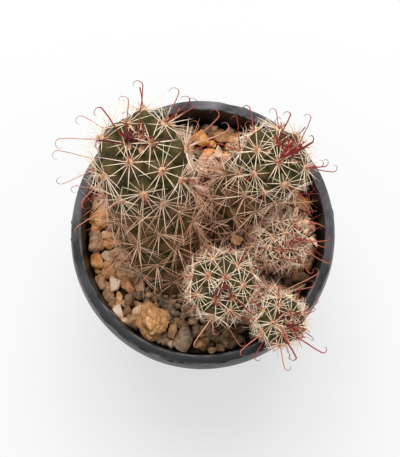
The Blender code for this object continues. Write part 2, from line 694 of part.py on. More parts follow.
def make_soil(parts, cutters, material, stems):
    floor_z = CHANNEL_RISE + FLOOR_THICKNESS
    soil = filling("soil", floor_z + GAP, SOIL_TOP, parts, material)
    stem_holes(stems, cutters)
    boolean(soil, cutters, "DIFFERENCE")
    return soil


def make_stone(name, at, half, turn, seed, colour, parts):
    """A separate stone with a flat base, lying on the gravel bed."""
    draw = np.random.default_rng(seed)
    wobble = draw.uniform(0.93, 1.07, size=42)
    spin = Matrix.Rotation(math.radians(turn), 4, "Z")
    base = GRAVEL_TOP + GAP

    def build(work):
        bmesh.ops.create_icosphere(work, subdivisions=2, radius=1.0)
        for vertex, push in zip(work.verts, wobble):
            x, y, z = vertex.co * push
            turned_place = spin @ Vector((x * half[0], y * half[1], 0.0))
            height = max(0.0, (z + 0.55) * half[2])
            vertex.co = (at[0] + turned_place.x, at[1] + turned_place.y, base + height)
        bmesh.ops.recalc_face_normals(work, faces=work.faces[:])

    object_of(name, mesh_from(build, name), parts, material_of(name, colour, 0.8))


def shade(parts):
    """Round pieces are smooth, with their edges kept."""
    for obj in parts.objects:
        obj.data.shade_smooth()
        obj.data.set_sharp_from_angle(angle=math.radians(35))


def main():
    clear_scene()
    parts = collection_of("potted_fishhook_pincushion_cactus")
    cutters = collection_of("cutters", hidden=True)
    plastic = material_of("black_plastic", (0.035, 0.035, 0.038), 0.5)
    earth = material_of("potting_soil", (0.05, 0.03, 0.02), 0.95)
    grit = material_of("gravel", (0.42, 0.28, 0.16), 0.8)
    skin = material_of("cactus_skin", (0.10, 0.16, 0.07), 0.6)
    stems = {name: Stem(**shape) for name, shape in STEMS.items()}
    make_pot(parts, cutters, plastic)
    make_soil(parts, cutters, earth, stems)
    make_gravel(parts, cutters, grit, stems)
    for name, shape in STONES.items():
        make_stone(name, **shape, parts=parts)
    make_stems(parts, skin, stems)
    shade(parts)


main()
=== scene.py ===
# %% [markdown]
# # A potted fishhook pincushion cactus
#
# Five spiny stems of one clump grow through a gravel top in a round black nursery pot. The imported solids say
# where each piece is and how big it is. The cells below give every piece its fine surface and its finish,
# from the pot upwards: plastic, soil, gravel, stones, skin, spines, felt and dried bits.

# %% Load the frame
import math

import bmesh
import bpy
import numpy as np
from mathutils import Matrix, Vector


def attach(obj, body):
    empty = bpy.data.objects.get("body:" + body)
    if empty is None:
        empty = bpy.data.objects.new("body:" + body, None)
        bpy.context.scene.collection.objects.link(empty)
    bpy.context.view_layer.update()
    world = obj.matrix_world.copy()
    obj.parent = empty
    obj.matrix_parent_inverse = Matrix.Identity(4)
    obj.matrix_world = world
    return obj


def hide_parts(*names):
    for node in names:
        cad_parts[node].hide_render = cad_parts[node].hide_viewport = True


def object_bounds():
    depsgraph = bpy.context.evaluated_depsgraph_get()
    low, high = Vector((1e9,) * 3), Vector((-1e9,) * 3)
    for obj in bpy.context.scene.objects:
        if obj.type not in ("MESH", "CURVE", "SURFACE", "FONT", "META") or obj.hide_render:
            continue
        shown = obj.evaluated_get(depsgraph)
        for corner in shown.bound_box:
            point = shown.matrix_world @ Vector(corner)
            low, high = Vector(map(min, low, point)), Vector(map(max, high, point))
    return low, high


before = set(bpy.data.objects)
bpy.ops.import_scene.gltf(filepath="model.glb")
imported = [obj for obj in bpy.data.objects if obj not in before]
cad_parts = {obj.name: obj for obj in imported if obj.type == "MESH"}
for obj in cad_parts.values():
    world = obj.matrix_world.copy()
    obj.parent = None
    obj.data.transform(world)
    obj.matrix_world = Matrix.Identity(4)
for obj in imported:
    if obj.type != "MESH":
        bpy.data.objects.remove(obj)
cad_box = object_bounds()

scene = bpy.context.scene
print("nodes in the frame:", ", ".join(sorted(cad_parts)))

# %% [markdown]
# ## The camera
#
# The pot is seen almost from straight above: its rim is nearly a circle, but the stems lean away from the
# middle and a little of the outside of the wall shows at the foot of the picture. That is an elevation of
# about 80 degrees. A long lens from 0.6 m gives the slight spread that the stems show towards the top.

# %% Camera
AIM = Vector((-0.00103, 0.00087, 0.085))
ELEVATION = math.radians(80)
CAMERA_DISTANCE = 0.6
LENS_MM = 124.3
SENSOR_MM = 36.0

lens = bpy.data.cameras.new("camera")
lens.lens = LENS_MM
lens.sensor_width = SENSOR_MM
lens.clip_start = 0.01
camera = bpy.data.objects.new("camera", lens)
scene.collection.objects.link(camera)
outward = Vector((0.0, -math.cos(ELEVATION), math.sin(ELEVATION)))
camera.location = AIM + CAMERA_DISTANCE * outward
camera.rotation_euler = (-outward).to_track_quat("-Z", "Y").to_euler()
scene.camera = camera
print("camera at", tuple(round(v, 3) for v in camera.location))

# %% [markdown]
# ## Light and floor
#
# The photograph has an almost white ground and a faint soft shadow below the pot. One large soft box stands
# behind the plant, so its light rakes over the rim from the top of the picture, and a white room fills the
# shadows. The floor is a pale light table: a translucent sheet that glows a little, which keeps the shadow
# faint.

# %% Light and floor
SOFT_BOX_PLACE = Vector((-0.02, 0.66, 1.20))
SOFT_BOX_SIZE = 1.0
SOFT_BOX_WATTS = 19.0
ROOM_LIGHT = 0.78
FLOOR_SIZE = 6.0
FLOOR_COLOUR = (0.26, 0.26, 0.26)
FLOOR_GLOW = 0.572

room = bpy.data.worlds.new("white_room")
room.use_nodes = True
room.node_tree.nodes["Background"].inputs["Color"].default_value = (1.0, 1.0, 1.0, 1.0)
room.node_tree.nodes["Background"].inputs["Strength"].default_value = ROOM_LIGHT
scene.world = room
scene.view_settings.view_transform = "Standard"

box = bpy.data.lights.new("soft_box", "AREA")
box.size = SOFT_BOX_SIZE
box.energy = SOFT_BOX_WATTS
soft_box = bpy.data.objects.new("soft_box", box)
scene.collection.objects.link(soft_box)
soft_box.location = SOFT_BOX_PLACE
soft_box.rotation_euler = (AIM - SOFT_BOX_PLACE).to_track_quat("-Z", "Y").to_euler()

# %% [markdown]
# ## Surfaces as arrays
#
# A surface is worked out with numpy: rings of points in an array, quads between neighbouring rings, and a
# fan of triangles that closes each end at a pole. Whole arrays go into a mesh at once, which is quick even
# for a hundred thousand points. A mesh whose signed volume is negative is inside out, so its faces are
# reversed.

# %% Mesh helpers
def unit(vectors):
    """Vectors divided by their own lengths."""
    return vectors / np.maximum(np.linalg.norm(vectors, axis=-1, keepdims=True), 1e-12)


def smooth(t):
    """The smooth step: 0 below 0, 1 above 1, and 3t^2 - 2t^3 between."""
    t = np.clip(t, 0.0, 1.0)
    return t * t * (3.0 - 2.0 * t)


def full_turn(count):
    """Angles that divide a full turn evenly."""
    return np.linspace(0, 2 * math.pi, count, endpoint=False)


def towards(angle, first, second):
    """Directions turned from the first towards the second: cos(angle) first + sin(angle) second."""
    return np.cos(angle)[..., None] * first + np.sin(angle)[..., None] * second


def mesh_piece(name, points, *faces):
    """A new object at the origin with these points, and the rows of each integer array as faces."""
    mesh = bpy.data.meshes.new(name)
    corners = np.concatenate([f.ravel() for f in faces]).astype(np.int32)
    sizes = np.concatenate([np.full(len(f), f.shape[1]) for f in faces])
    starts = np.concatenate([[0], np.cumsum(sizes)[:-1]]).astype(np.int32)
    mesh.vertices.add(len(points))
    mesh.vertices.foreach_set("co", np.asarray(points, dtype=np.float32).ravel())
    mesh.loops.add(len(corners))
    mesh.loops.foreach_set("vertex_index", corners)
    mesh.polygons.add(len(sizes))
    mesh.polygons.foreach_set("loop_start", starts)
    mesh.update(calc_edges=True)
    mesh.shade_smooth()
    piece = bpy.data.objects.new(name, mesh)
    scene.collection.objects.link(piece)
    return piece


def volume(points, *faces):
    """Signed volume inside closed faces: a sixth of each triangle's triple product, added up."""
    total = 0.0
    for rows in faces:
        for k in range(1, rows.shape[1] - 1):
            a, b, c = points[rows[:, 0]], points[rows[:, k]], points[rows[:, k + 1]]
            total += np.einsum("ij,ij->", a, np.cross(b, c)) / 6.0
    return total


def ring_faces(rows, columns):
    """Quads between neighbouring rings of points, and a fan from each end ring to one more point."""
    column = np.arange(columns)
    beside = (column + 1) % columns
    low = np.arange(rows - 1)[:, None] * columns
    high = low + columns
    quads = np.stack([low + column, low + beside, high + beside, high + column], axis=-1).reshape(-1, 4)
    last = (rows - 1) * columns
    first_fan = np.stack([np.full(columns, rows * columns), beside, column], axis=1)
    last_fan = np.stack([np.full(columns, rows * columns + 1), last + column, last + beside], axis=1)
    return quads, np.concatenate([first_fan, last_fan])


def closed_rings(rings):
    """Points and faces over rings (rows, columns, 3), closed by a fan to the middle of each end."""
    points = np.concatenate([rings.reshape(-1, 3), rings[:1].mean(axis=1), rings[-1:].mean(axis=1)])
    quads, fans = ring_faces(*rings.shape[:2])
    if volume(points, quads, fans) < 0:
        quads, fans = quads[:, ::-1], fans[:, ::-1]
    return points, quads, fans


def copies(points, *faces):
    """Points (count, n, 3) of many shapes in one row, and each array of faces repeated for every shape."""
    shift = (np.arange(len(points)) * points.shape[1])[:, None, None]
    return points.reshape(-1, 3), *((rows[None] + shift).reshape(-1, rows.shape[1]) for rows in faces)


def paint(piece, name, values):
    """Stores one number or one colour for each point of the piece, for its material to read."""
    values = np.asarray(values, dtype=np.float32)
    if values.ndim == 1:
        piece.data.attributes.new(name, "FLOAT", "POINT").data.foreach_set("value", values)
        return
    colours = np.concatenate([values, np.ones((len(values), 1), dtype=np.float32)], axis=1)
    piece.data.attributes.new(name, "FLOAT_COLOR", "POINT").data.foreach_set("color", colours.ravel())


def place(piece, material, slot, *nodes):
    """Gives the piece its material and its body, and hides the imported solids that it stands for."""
    piece.data.materials.append(material)
    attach(piece, "root")
    if nodes:
        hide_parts(*nodes)
    print(piece.name, "has", len(piece.data.polygons), "faces")


def ripple(points, wavelength, seed, waves=10):
    """Smooth noise of about unit size: the sum of sines along random directions, near one wavelength."""
    draw = np.random.default_rng(seed)
    ways = unit(draw.normal(size=(waves, 3))) * draw.uniform(0.7, 1.5, size=(waves, 1))
    phases = draw.uniform(0, 2 * math.pi, size=waves)
    return np.sin(points @ ways.T * (2 * math.pi / wavelength) + phases).sum(axis=-1) / math.sqrt(waves)


# %% [markdown]
# ## Materials as nodes
#
# Short helpers keep the node trees readable. Three effects come back in almost every finish, so each is a
# node group: mottling, fine grain for a bump, and scattered specks. They read object coordinates, which are
# real metres here, because every piece's object sits at the origin.

# %% Node helpers
def feed(tree, socket, value):
    """Links an output to the socket, or sets the socket's own value."""
    if isinstance(value, bpy.types.NodeSocket):
        tree.links.new(value, socket)
    else:
        socket.default_value = value


def add(tree, kind, *values, **named):
    """A new node's first output. Values fill its inputs in order, names are its settings or inputs."""
    node = tree.nodes.new("ShaderNode" + kind)
    for key, value in named.items():
        if hasattr(node, key):
            setattr(node, key, value)
        else:
            feed(tree, node.inputs[key.replace("_", " ")], value)
    for socket, value in zip(node.inputs, values):
        feed(tree, socket, value)
    return node.outputs[0]


def blend(tree, share, first, second, way="MIX"):
    """Two colours mixed by a share."""
    node = tree.nodes.new("ShaderNodeMix")
    node.data_type = "RGBA"
    node.blend_type = way
    feed(tree, node.inputs["Factor"], share)
    for socket, colour in ((node.inputs[6], first), (node.inputs[7], second)):
        feed(tree, socket, colour if isinstance(colour, bpy.types.NodeSocket) else (*colour, 1.0))
    return node.outputs[2]


def times(tree, value, *others):
    """The product of values."""
    for other in others:
        value = add(tree, "Math", value, other, operation="MULTIPLY")
    return value


def larger(tree, first, second):
    """The larger of two values."""
    return add(tree, "Math", first, second, operation="MAXIMUM")


def laid(tree, colour, mask, share, other):
    """The colour with a share of another one laid over it where the mask is."""
    return blend(tree, times(tree, mask, share), colour, other)


def span(tree, value, low, high, start=0.0, end=1.0):
    """The value's way from low to high, carried smoothly from start to end."""
    return add(tree, "MapRange", value, low, high, start, end, interpolation_type="SMOOTHSTEP")


def stored(tree, name, colour=False):
    """An attribute of the mesh, as a number or as a colour."""
    node = tree.nodes.new("ShaderNodeAttribute")
    node.attribute_name = name
    return node.outputs["Color" if colour else "Fac"]


def here(tree):
    """The shaded point in object coordinates."""
    return tree.nodes.new("ShaderNodeTexCoord").outputs["Object"]


def bump(tree, height, distance, strength=1.0):
    """A normal tilted by a height, whose full size is the distance in metres."""
    return add(tree, "Bump", Strength=strength, Distance=distance, Height=height)


def new_group(name, **inputs):
    """An empty node group with number inputs and one output, Mask."""
    group = bpy.data.node_groups.new(name, "ShaderNodeTree")
    for label, value in inputs.items():
        socket = group.interface.new_socket(label, in_out="INPUT", socket_type="NodeSocketFloat")
        socket.default_value = value
    group.interface.new_socket("Mask", in_out="OUTPUT", socket_type="NodeSocketFloat")
    return group, group.nodes.new("NodeGroupInput").outputs, group.nodes.new("NodeGroupOutput").inputs


def use(tree, group, **inputs):
    """The output of a node group placed in a tree with its own values."""
    node = tree.nodes.new("ShaderNodeGroup")
    node.node_tree = group
    for label, value in inputs.items():
        feed(tree, node.inputs[label], value)
    return node.outputs["Mask"]


def new_material(name, roughness, specular=0.3):
    """A material, its node tree and its Principled shader."""
    material = bpy.data.materials.new(name)
    material.use_nodes = True
    shader = material.node_tree.nodes["Principled BSDF"]
    shader.inputs["Roughness"].default_value = roughness
    shader.inputs["Specular IOR Level"].default_value = specular
    return material, material.node_tree, shader


# %% Shared effects
mottle, given, made = new_group("mottle", Scale=100.0, Low=0.35, High=0.65)
cloud = add(mottle, "TexNoise", Vector=here(mottle), Scale=given["Scale"], Detail=4.0, Roughness=0.6)
feed(mottle, made["Mask"], add(mottle, "MapRange", cloud, given["Low"], given["High"], 0.0, 1.0))

grain, given, made = new_group("grain", Scale=800.0)
coarse = add(grain, "TexNoise", Vector=here(grain), Scale=given["Scale"], Detail=3.0, Roughness=0.65)
finer = times(grain, given["Scale"], 3.7)
fine = add(grain, "TexNoise", Vector=here(grain), Scale=finer, Detail=2.0)
feed(grain, made["Mask"], add(grain, "Math", fine, 0.4, coarse, operation="MULTIPLY_ADD"))

specks, given, made = new_group("specks", Scale=400.0, Size=0.12, Share=0.3)
cells = specks.nodes.new("ShaderNodeTexVoronoi")
feed(specks, cells.inputs["Vector"], here(specks))
feed(specks, cells.inputs["Scale"], given["Scale"])
edge = times(specks, given["Size"], 0.55)
spot = add(specks, "MapRange", cells.outputs["Distance"], edge, given["Size"], 1.0, 0.0)
chosen = add(specks, "Math", cells.outputs["Color"], given["Share"], operation="LESS_THAN")
feed(specks, made["Mask"], times(specks, spot, chosen))


def mottled(tree, scale, low=0.35, high=0.65):
    """Soft patches, from 0 where the noise is low to 1 where it is high."""
    return use(tree, mottle, Scale=scale, Low=low, High=high)


def finish(tree, shader, colour, scale, depth, strength=1.0):
    """Gives the shader its colour, and a normal with fine grain of this scale and depth in metres."""
    feed(tree, shader.inputs["Base Color"], colour)
    feed(tree, shader.inputs["Normal"], bump(tree, use(tree, grain, Scale=scale), depth, strength))


def glowing(shader, weight, *reach):
    """Lets light spread under the surface, as far as given for red, green and blue in metres."""
    shader.inputs["Subsurface Weight"].default_value = weight
    shader.inputs["Subsurface Radius"].default_value = reach


# %% Floor
floor_material, tree, shader = new_material("pale_floor", 0.7)
patches = mottled(tree, 3.0)
feed(tree, shader.inputs["Base Color"], blend(tree, patches, FLOOR_COLOUR, (0.255, 0.255, 0.258)))
shader.inputs["Emission Color"].default_value = (1.0, 1.0, 1.0, 1.0)
shader.inputs["Emission Strength"].default_value = FLOOR_GLOW
half = FLOOR_SIZE / 2
corners = np.array([(-half, -half, 0), (half, -half, 0), (half, half, 0), (-half, half, 0)])
floor = mesh_piece("floor", corners, np.array([[0, 1, 2, 3]]))
floor.data.materials.append(floor_material)

# %% [markdown]
# ## The pot
#
# A nursery pot is one thin moulded shell: a tapered wall, a flat flange at its mouth and a skirt turned down
# round it. It could be a Screw modifier on a profile. Here the profile is an array that is turned about the
# upright axis, so that its corners can be rounded and its rim can be given the small dents and burrs that
# soft plastic picks up. The pot has been pressed a little oval. The drain holes are cut with a Boolean.

# %% Pot surface
POT_HEIGHT = 0.085
RIM_RADIUS = 0.050
RIM_WIDTH = 0.0036
RIM_THICKNESS = 0.0014
SKIRT_DEPTH = 0.009
SKIRT_FLARE = 0.0009
WALL = 0.0012
FOOT_RADIUS = 0.0375
FLOOR_THICKNESS = 0.0016
CHANNEL_RISE = 0.0022
HUB_RADIUS = 0.011
CHANNEL_RADIUS = 0.029
DRAIN_HOLES = 6
DRAIN_RADIUS = 0.0035
OVAL = 1.02
POT_TURNS = 288


def wall_radius(z):
    """Inner radius of the tapered wall at height z, across the pot's narrower way."""
    foot = FOOT_RADIUS - WALL
    return foot + (RIM_RADIUS - RIM_WIDTH - foot) * z / POT_HEIGHT


def past_wall(points, gap):
    """How far points are from the pot's middle, as a share of the wall's inner radius less a gap."""
    return np.linalg.norm(points[..., :2] / (1.0, OVAL), axis=-1) / (wall_radius(points[..., 2]) - gap)


def pulled_inside(points, gap=0.0002):
    """Points p that are past the wall's inner face, drawn in to it: p / max(1, share)."""
    share = np.maximum(1.0, past_wall(points, gap))
    return points / np.stack([share, share, np.ones(len(points))], axis=1)


def rounded(corners, reach, steps=5):
    """A polyline whose inner corners become arcs: B(t) = (1-t)^2 a + 2t(1-t) corner + t^2 b, with a and b on
    the corner's two sides, a reach away from it or 45% of the side."""
    corners = np.array(corners)
    t = np.linspace(0, 1, steps)[:, None]
    path = [corners[:1]]
    for before, corner, after in zip(corners[:-2], corners[1:-1], corners[2:]):
        to, on = before - corner, after - corner
        a = corner + to * min(reach / np.linalg.norm(to), 0.45)
        b = corner + on * min(reach / np.linalg.norm(on), 0.45)
        path.append((1 - t) ** 2 * a + 2 * t * (1 - t) * corner + t**2 * b)
    path.append(corners[-1:])
    return np.concatenate(path)


def refined(path, longest):
    """The polyline with points added so that no step is longer than the given length."""
    pieces = []
    for p, q in zip(path[:-1], path[1:]):
        count = max(1, math.ceil(np.linalg.norm(q - p) / longest))
        pieces.append(p + (q - p) * np.arange(count)[:, None] / count)
    return np.concatenate(pieces + [path[-1:]])


underflange = POT_HEIGHT - RIM_THICKNESS
skirt_inside = RIM_RADIUS - RIM_THICKNESS
floor_z = CHANNEL_RISE + FLOOR_THICKNESS
pot_profile = refined(rounded([
    (0.0002, floor_z),
    (wall_radius(floor_z), floor_z),
    (wall_radius(POT_HEIGHT), POT_HEIGHT),
    (RIM_RADIUS, POT_HEIGHT),
    (RIM_RADIUS + SKIRT_FLARE, POT_HEIGHT - SKIRT_DEPTH),
    (skirt_inside + SKIRT_FLARE, POT_HEIGHT - SKIRT_DEPTH),
    (skirt_inside, underflange),
    (wall_radius(underflange) + WALL, underflange),
    (FOOT_RADIUS, 0.0),
    (CHANNEL_RADIUS + CHANNEL_RISE, 0.0),
    (CHANNEL_RADIUS, CHANNEL_RISE),
    (HUB_RADIUS + CHANNEL_RISE, CHANNEL_RISE),
    (HUB_RADIUS, 0.0),
    (0.0002, 0.0),
], 0.0006), 0.004)

# %% Pot rim wear
# Dents and burrs of the rim: where round it in degrees, how wide in degrees, how far out in metres.
RIM_MARKS = (
    (176, 0.9, 0.00045), (184, 0.8, 0.00055), (214, 2.2, -0.0003), (222, 1.3, 0.0003), (228, 3.0, -0.0004),
    (256, 1.2, 0.0003), (272, 3.5, -0.00045), (283, 1.5, -0.0005), (289, 2.6, -0.0007), (296, 1.0, 0.0003),
    (331, 1.6, 0.00035), (352, 2.0, -0.0003), (8, 1.1, 0.0003), (33, 2.2, -0.0003), (71, 1.4, 0.0003),
    (78, 2.8, -0.0003), (112, 1.6, 0.00025), (140, 2.4, -0.0003),
)

# Slow waves of the mouth: how high in metres, how many round it, and where they begin.
RIM_WAVES = ((0.00012, 3, 0.7), (0.00008, 7, 2.1), (0.00004, 19, 0.0))

# The waves set in at a height and over a rise, and outside a radius. The marks keep to the flange's outer
# edge: from a radius outwards, and around a depth below its top.
WAVES_FROM = 0.070
WAVES_RISE = 0.013
WAVES_OUTSIDE = 0.040
MARKS_FROM = 0.0475
MARKS_WIDTH = 0.0022
MARKS_DEPTH = 0.0006


def turned_pot(profile):
    """The profile turned about Z: (r cos a, r sin a, z), with r swelled by slow waves and the rim's marks."""
    turn = full_turn(POT_TURNS)
    r, z = profile[:, :1], profile[:, 1:]
    waves = sum(high * np.sin(count * turn + start) for high, count, start in RIM_WAVES)
    marks = np.zeros_like(turn)
    for degrees, width, push in RIM_MARKS:
        away = (np.degrees(turn) - degrees + 180) % 360 - 180
        marks += push * np.exp(-((away / width) ** 2))
    on_rim = smooth((z - WAVES_FROM) / WAVES_RISE)
    beside_edge = np.exp(-(((z - POT_HEIGHT + MARKS_DEPTH) / MARKS_WIDTH) ** 2))
    at_edge = smooth((r - MARKS_FROM) / MARKS_WIDTH) * beside_edge
    swelled = r + on_rim * waves * (r > WAVES_OUTSIDE) + at_edge * marks
    lifted = z + at_edge * 0.35 * np.abs(marks) - 0.0001 * on_rim * np.sin(2 * turn + 1.0)
    return np.stack([swelled * np.cos(turn), OVAL * swelled * np.sin(turn), lifted + 0 * turn], axis=-1)


pot = mesh_piece("pot_shell", *closed_rings(turned_pot(pot_profile)))
drill_mesh = bpy.data.meshes.new("drain_drills")
work = bmesh.new()
ring = (CHANNEL_RADIUS + HUB_RADIUS + CHANNEL_RISE) / 2
for i in range(DRAIN_HOLES):
    angle = 2 * math.pi * (i + 0.5) / DRAIN_HOLES
    hole = bmesh.ops.create_cone(work, cap_ends=True, segments=32, radius1=DRAIN_RADIUS,
                                 radius2=DRAIN_RADIUS, depth=4 * floor_z)
    bmesh.ops.translate(work, verts=hole["verts"], vec=(ring * math.cos(angle), ring * math.sin(angle), 0.0))
work.to_mesh(drill_mesh)
work.free()
drills = bpy.data.objects.new("drain_drills", drill_mesh)
scene.collection.objects.link(drills)
cut = pot.modifiers.new("drain_holes", "BOOLEAN")
cut.object = drills
cut.solver = "EXACT"
bpy.context.view_layer.update()
pot.data = bpy.data.meshes.new_from_object(pot.evaluated_get(bpy.context.evaluated_depsgraph_get()))
pot.modifiers.clear()
bpy.data.objects.remove(drills)

# %% [markdown]
# ## Black plastic
#
# Moulded black plastic is a dark satin grey. What lies on it is partly age and partly painted light: a thin
# grey film on the flange and, fainter, on the skirt, which is dust with a painted sheen, pale marks along the
# flange's two edges, which are wear with a painted highlight, and white specks. A picture could carry them,
# but masks that follow the shaded point's radius and height sit on the edges all round. The film is laid on
# stronger on the side of the soft box, as painted sheen, and it is left off the inner wall, whose near black
# is partly painted shade.

# %% Black plastic
plastic, tree, shader = new_material("black_plastic", 0.45, 0.17)
split = tree.nodes.new("ShaderNodeSeparateXYZ")
feed(tree, split.inputs[0], here(tree))
across = times(tree, split.outputs["Y"], 1 / OVAL)
out = add(tree, "Math", add(tree, "Math", split.outputs["X"], 2.0, operation="POWER"),
          add(tree, "Math", across, 2.0, operation="POWER"), operation="ADD")
out = add(tree, "Math", out, operation="SQRT")
# Pale flange edges: wear, and a painted highlight where the rounded edges catch the light.
outer_edge = span(tree, out, 0.0490, 0.0500)
inner_edge = span(tree, out, 0.0473, 0.0466)
top_only = span(tree, split.outputs["Z"], 0.0838, 0.0848)
patchy = mottled(tree, 180.0, 0.38, 0.70)
wear_and_edge_highlight = times(tree, larger(tree, outer_edge, inner_edge), top_only, patchy)

# Film: dust and painted sheen, stronger on the flange top and towards the soft box, kept off the inner wall.
on_flange = span(tree, split.outputs["Z"], 0.0822, 0.0842, 0.35, 1.0)
painted_light_side = span(tree, split.outputs["Y"], -0.052, 0.045, 0.05, 1.35)
outside = span(tree, out, 0.0462, 0.0475, 0.0, 1.0)
dust_film_and_sheen = times(tree, mottled(tree, 60.0, 0.36, 0.80), on_flange, painted_light_side, outside)

dots = use(tree, specks, Scale=420.0, Size=0.16, Share=0.10)
fine_dots = use(tree, specks, Scale=1500.0, Size=0.20, Share=0.16)
dust = times(tree, larger(tree, dots, fine_dots), mottled(tree, 35.0, 0.40, 0.62))

colour = blend(tree, dust_film_and_sheen, (0.006, 0.006, 0.0075), (0.185, 0.175, 0.188))
colour = laid(tree, colour, wear_and_edge_highlight, 0.50, (0.26, 0.25, 0.25))
colour = laid(tree, colour, dust, 0.65, (0.62, 0.58, 0.54))
rough = add(tree, "MapRange", dust_film_and_sheen, 0.0, 1.0, 0.36, 0.62)
feed(tree, shader.inputs["Roughness"], larger(tree, rough, dust))
finish(tree, shader, colour, 1400.0, 0.00006, 0.6)
place(pot, plastic, "black_plastic", "pot")

# %% [markdown]
# ## Potting soil
#
# The soil is hidden under the gravel and shows only through the drain holes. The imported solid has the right
# shape, so it stays and gets a crumbly dark brown finish.

# %% Potting soil
soil_material, tree, shader = new_material("potting_soil", 0.95)
crumbs = mottled(tree, 500.0, 0.35, 0.68)
bits = use(tree, specks, Scale=900.0, Size=0.35, Share=0.12)
colour = blend(tree, crumbs, (0.012, 0.007, 0.004), (0.060, 0.036, 0.020))
finish(tree, shader, blend(tree, bits, colour, (0.16, 0.11, 0.07)), 700.0, 0.0008)
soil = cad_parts["soil"]
soil.data.materials.clear()
soil.data.materials.append(soil_material)

# %% [markdown]
# ## Stone shapes
#
# A river pebble is a block whose faces met at edges that water has rounded. A ball pushed in by noise looks
# like dough. A rounded polyhedron looks like stone: for a direction d, each flat of the stone lies at the
# distance h / (d . n), and the stone's surface is a soft minimum over all its flats. Every pebble gets its
# own flats.

# %% Stone shapes
GRAVEL_TOP = 0.0705
FLATS = 12
FLAT_POWER = 15.0


def ball(steps):
    """Directions and triangles of an icosphere."""
    work = bmesh.new()
    bmesh.ops.create_icosphere(work, subdivisions=steps, radius=1.0)
    work.verts.ensure_lookup_table()
    directions = np.array([v.co for v in work.verts])
    triangles = np.array([[v.index for v in f.verts] for f in work.faces])
    work.free()
    return unit(directions), triangles


def stone_radii(directions, draw, count):
    """Radius of each stone along each direction d: (sum of (max(d.n, 0) / h)^p)^(-1/p) over its flats, whose
    normals n are an even spread that is jittered, and whose distances h lie between 0.66 and 1."""
    k = np.arange(FLATS)
    height = 1 - 2 * (k + 0.5) / FLATS
    turn = k * math.pi * (3 - math.sqrt(5))
    level = np.sqrt(1 - height**2)
    even = np.stack([level * np.cos(turn), level * np.sin(turn), height], axis=1)
    normals = unit(even + draw.normal(scale=0.27, size=(count, FLATS, 3)))
    distances = draw.uniform(0.66, 1.0, size=(count, 1, FLATS))
    facing = np.maximum(np.einsum("vk,nfk->nvf", directions, normals), 0.0) / distances
    return (facing**FLAT_POWER).sum(axis=2) ** (-1 / FLAT_POWER)


def spun(angles):
    """Rotation matrices about Z."""
    c, s, zero = np.cos(angles), np.sin(angles), np.zeros(len(angles))
    return np.stack([c, -s, zero, s, c, zero, zero, zero, zero + 1], axis=1).reshape(-1, 3, 3)


def tumbled(draw, count, tilt):
    """Rotation matrices: any turn about Z, after a small tilt about a level axis."""
    spin = draw.uniform(0, 2 * math.pi, size=count)
    lean = draw.normal(scale=tilt, size=count)
    c, s, zero = np.cos(lean), np.sin(lean), np.zeros(count)
    tilted = np.stack([zero + 1, zero, zero, zero, c, -s, zero, s, c], axis=1).reshape(-1, 3, 3)
    return spun(spin) @ tilted


def pebbles(name, places, halves, colours, turns, detail, seed):
    """Stones of a rounded polyhedron each, scaled to their half sizes, turned and put in their places. None
    reaches past the pot's wall."""
    directions, triangles = ball(detail)
    draw = np.random.default_rng(seed)
    count = len(places)
    radii = stone_radii(directions, draw, count)
    apart = draw.normal(scale=9, size=(count, 1, 3))
    radii = radii * (1 + 0.035 * ripple(directions[None] + apart, 0.8, seed))
    local = directions[None] * radii[:, :, None] * halves[:, None, :]
    points, faces = copies(np.einsum("nij,nvj->nvi", turns, local) + places[:, None, :], triangles)
    piece = mesh_piece(name, pulled_inside(points), faces)
    paint(piece, "stone", np.repeat(colours, len(directions), axis=0))
    return piece


# %% [markdown]
# ## Where the gravel lies
#
# Grains that show in the open parts of the pot are placed one by one, with the size and the colour that they
# have. The rest of the bed is filled with seeded grains, which are pushed apart until hardly one overlaps
# another, the wall, a stem's foot or a large stone. A physics run could drop them in, but would push the
# placed ones about. Smaller grains lie lower, and close the gaps.

# %% Gravel colours
STONE_COLOURS = {
    "amber": (0.72, 0.305, 0.080),
    "orange": (0.88, 0.34, 0.085),
    "ochre": (0.50, 0.215, 0.064),
    "tan": (0.60, 0.285, 0.115),
    "blush": (0.86, 0.470, 0.250),
    "cream": (0.74, 0.470, 0.285),
    "white": (0.84, 0.630, 0.470),
    "quartz": (0.84, 0.610, 0.430),
    "greytan": (0.40, 0.210, 0.100),
    "olive": (0.31, 0.140, 0.046),
    "grey": (0.16, 0.095, 0.058),
    "rosegrey": (0.24, 0.112, 0.066),
    "rust": (0.52, 0.180, 0.058),
    "brown": (0.23, 0.085, 0.029),
    # The lodged stone is brighter than the rest: painted light on a stone that lies in the stems' shade.
    "lodged": (1.0, 0.530, 0.230),
}
